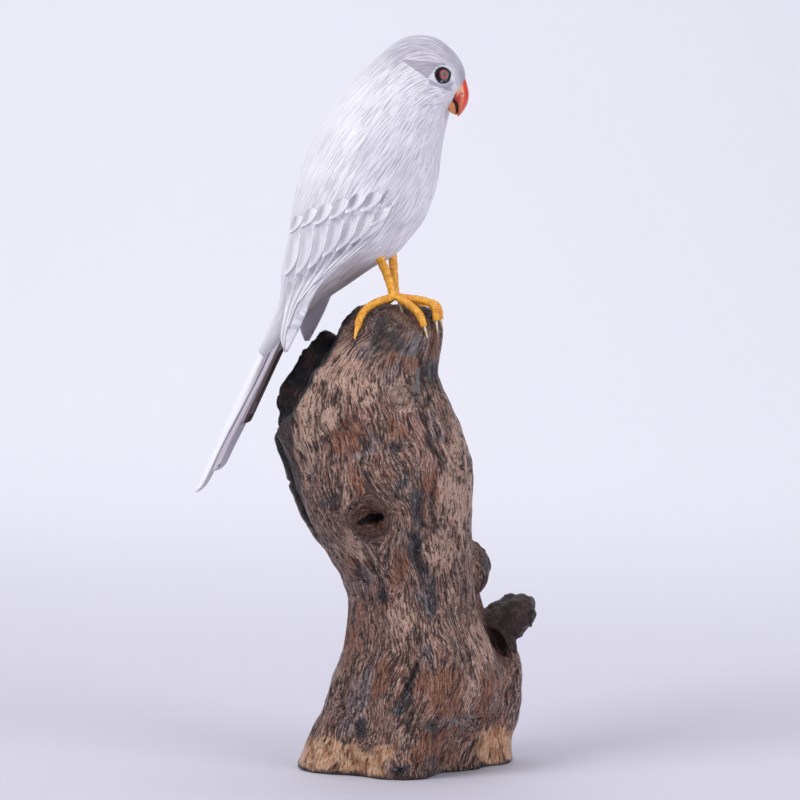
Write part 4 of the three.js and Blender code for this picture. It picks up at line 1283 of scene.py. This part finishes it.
# Studio


def sweep_floor():
    """A floor that curves up into a wall far behind the carving."""
    arc = np.linspace(0, np.pi / 2, 24)
    profile = [(SWEEP_FRONT, 0.0), (0.0, 0.0)]
    for a in arc:
        profile.append((SWEEP_WALL - SWEEP_RADIUS * (1 - math.sin(a)), SWEEP_RADIUS * (1 - math.cos(a))))
    profile += [(SWEEP_WALL, SWEEP_HEIGHT)]
    points = [(side * SWEEP_HALF_WIDTH, y, z - SWEEP_DROP) for y, z in profile for side in (-1, 1)]
    points = turned(np.array(points), STUMP_TURN)
    faces = [(2 * k, 2 * k + 1, 2 * k + 3, 2 * k + 2) for k in range(len(profile) - 1)]
    mesh = bpy.data.meshes.new("studio_sweep")
    mesh.from_pydata((points * MM).tolist(), [], faces)
    mesh.polygons.foreach_set("use_smooth", [True] * len(mesh.polygons))
    mesh.materials.append(floor_finish())
    floor = put_in_scene("studio_sweep", mesh)


def look_at(thing, place, target):
    thing.location = Vector(place) * MM
    thing.rotation_mode = "QUATERNION"
    thing.rotation_quaternion = (Vector(target) - Vector(place)).to_track_quat("-Z", "Y")


def soft_box(name, place, width, height, watts, colour, target):
    lamp = bpy.data.lights.new(name, "AREA")
    lamp.shape = "RECTANGLE"
    lamp.size = width * MM
    lamp.size_y = height * MM
    lamp.energy = watts
    lamp.color = colour
    look_at(put_in_scene(name, lamp), place, target)


def camera():
    lens = bpy.data.cameras.new("view")
    lens.lens = CAMERA_LENS
    lens.sensor_width = SENSOR
    lens.clip_start = 0.05
    lens.clip_end = 40
    view = put_in_scene("view", lens)
    spot = turned(np.array([[CAMERA_SIDE, -CAMERA_DISTANCE, CAMERA_HEIGHT]]), STUMP_TURN)[0]
    ahead = np.array([[0, math.cos(CAMERA_PITCH), -math.sin(CAMERA_PITCH)]])
    look_at(view, spot, spot + turned(ahead, STUMP_TURN)[0] * 1000)
    bpy.context.scene.camera = view


def studio():
    sweep_floor()
    for name, box in SOFT_BOXES.items():
        soft_box(name, *box)
    world = bpy.data.worlds.new("studio")
    world.use_nodes = True
    background = world.node_tree.nodes["Background"]
    background.inputs["Color"].default_value = SKY_COLOUR
    background.inputs["Strength"].default_value = SKY_STRENGTH
    bpy.context.scene.world = world
    bpy.context.scene.view_settings.view_transform = "Standard"
    camera()


# The carving

studio()

feathers = feather_paint()
eyes = eye_paint()
bird_pieces = [
    (body_piece(), plumage_paint()),
    (wing_piece("wing_feathers_right", -1), feathers),
    (wing_piece("wing_feathers_left", 1), feathers),
    (tail_piece(), tail_paint()),
    (beak_piece("beak_upper", UPPER_BEAK), beak_paint()),
    (beak_piece("beak_lower", LOWER_BEAK), jaw_paint()),
    (gape_piece(), gape_paint()),
    (eye_piece("eye_right", -1), eyes),
    (eye_piece("eye_left", 1), eyes),
]
for bird_piece, paint in bird_pieces:
    place_piece(bird_piece, paint, "bird")

putty = putty_paint()
chalk = claw_paint()
for side_name, leg in LEGS.items():
    node = "leg_" + side_name
    place_piece(leg_piece(side_name + "_leg_putty", leg), putty, node)
    thin = leg["toes"][1:] if side_name == "right" else leg["toes"]
    place_piece(claws_piece(side_name + "_claws", thin, THIN_CLAW), chalk, node)
stout = LEGS["right"]["toes"][:1]
claw = claws_piece("right_rear_claw", stout, STOUT_CLAW)
paint_values(claw, "wrinkle", np.zeros(len(claw.data.vertices)))
place_piece(claw, putty, "leg_right")
place_piece(pins_piece(), pin_metal(), "leg_right")

place_piece(stump_piece(), root_wood(), "stump")
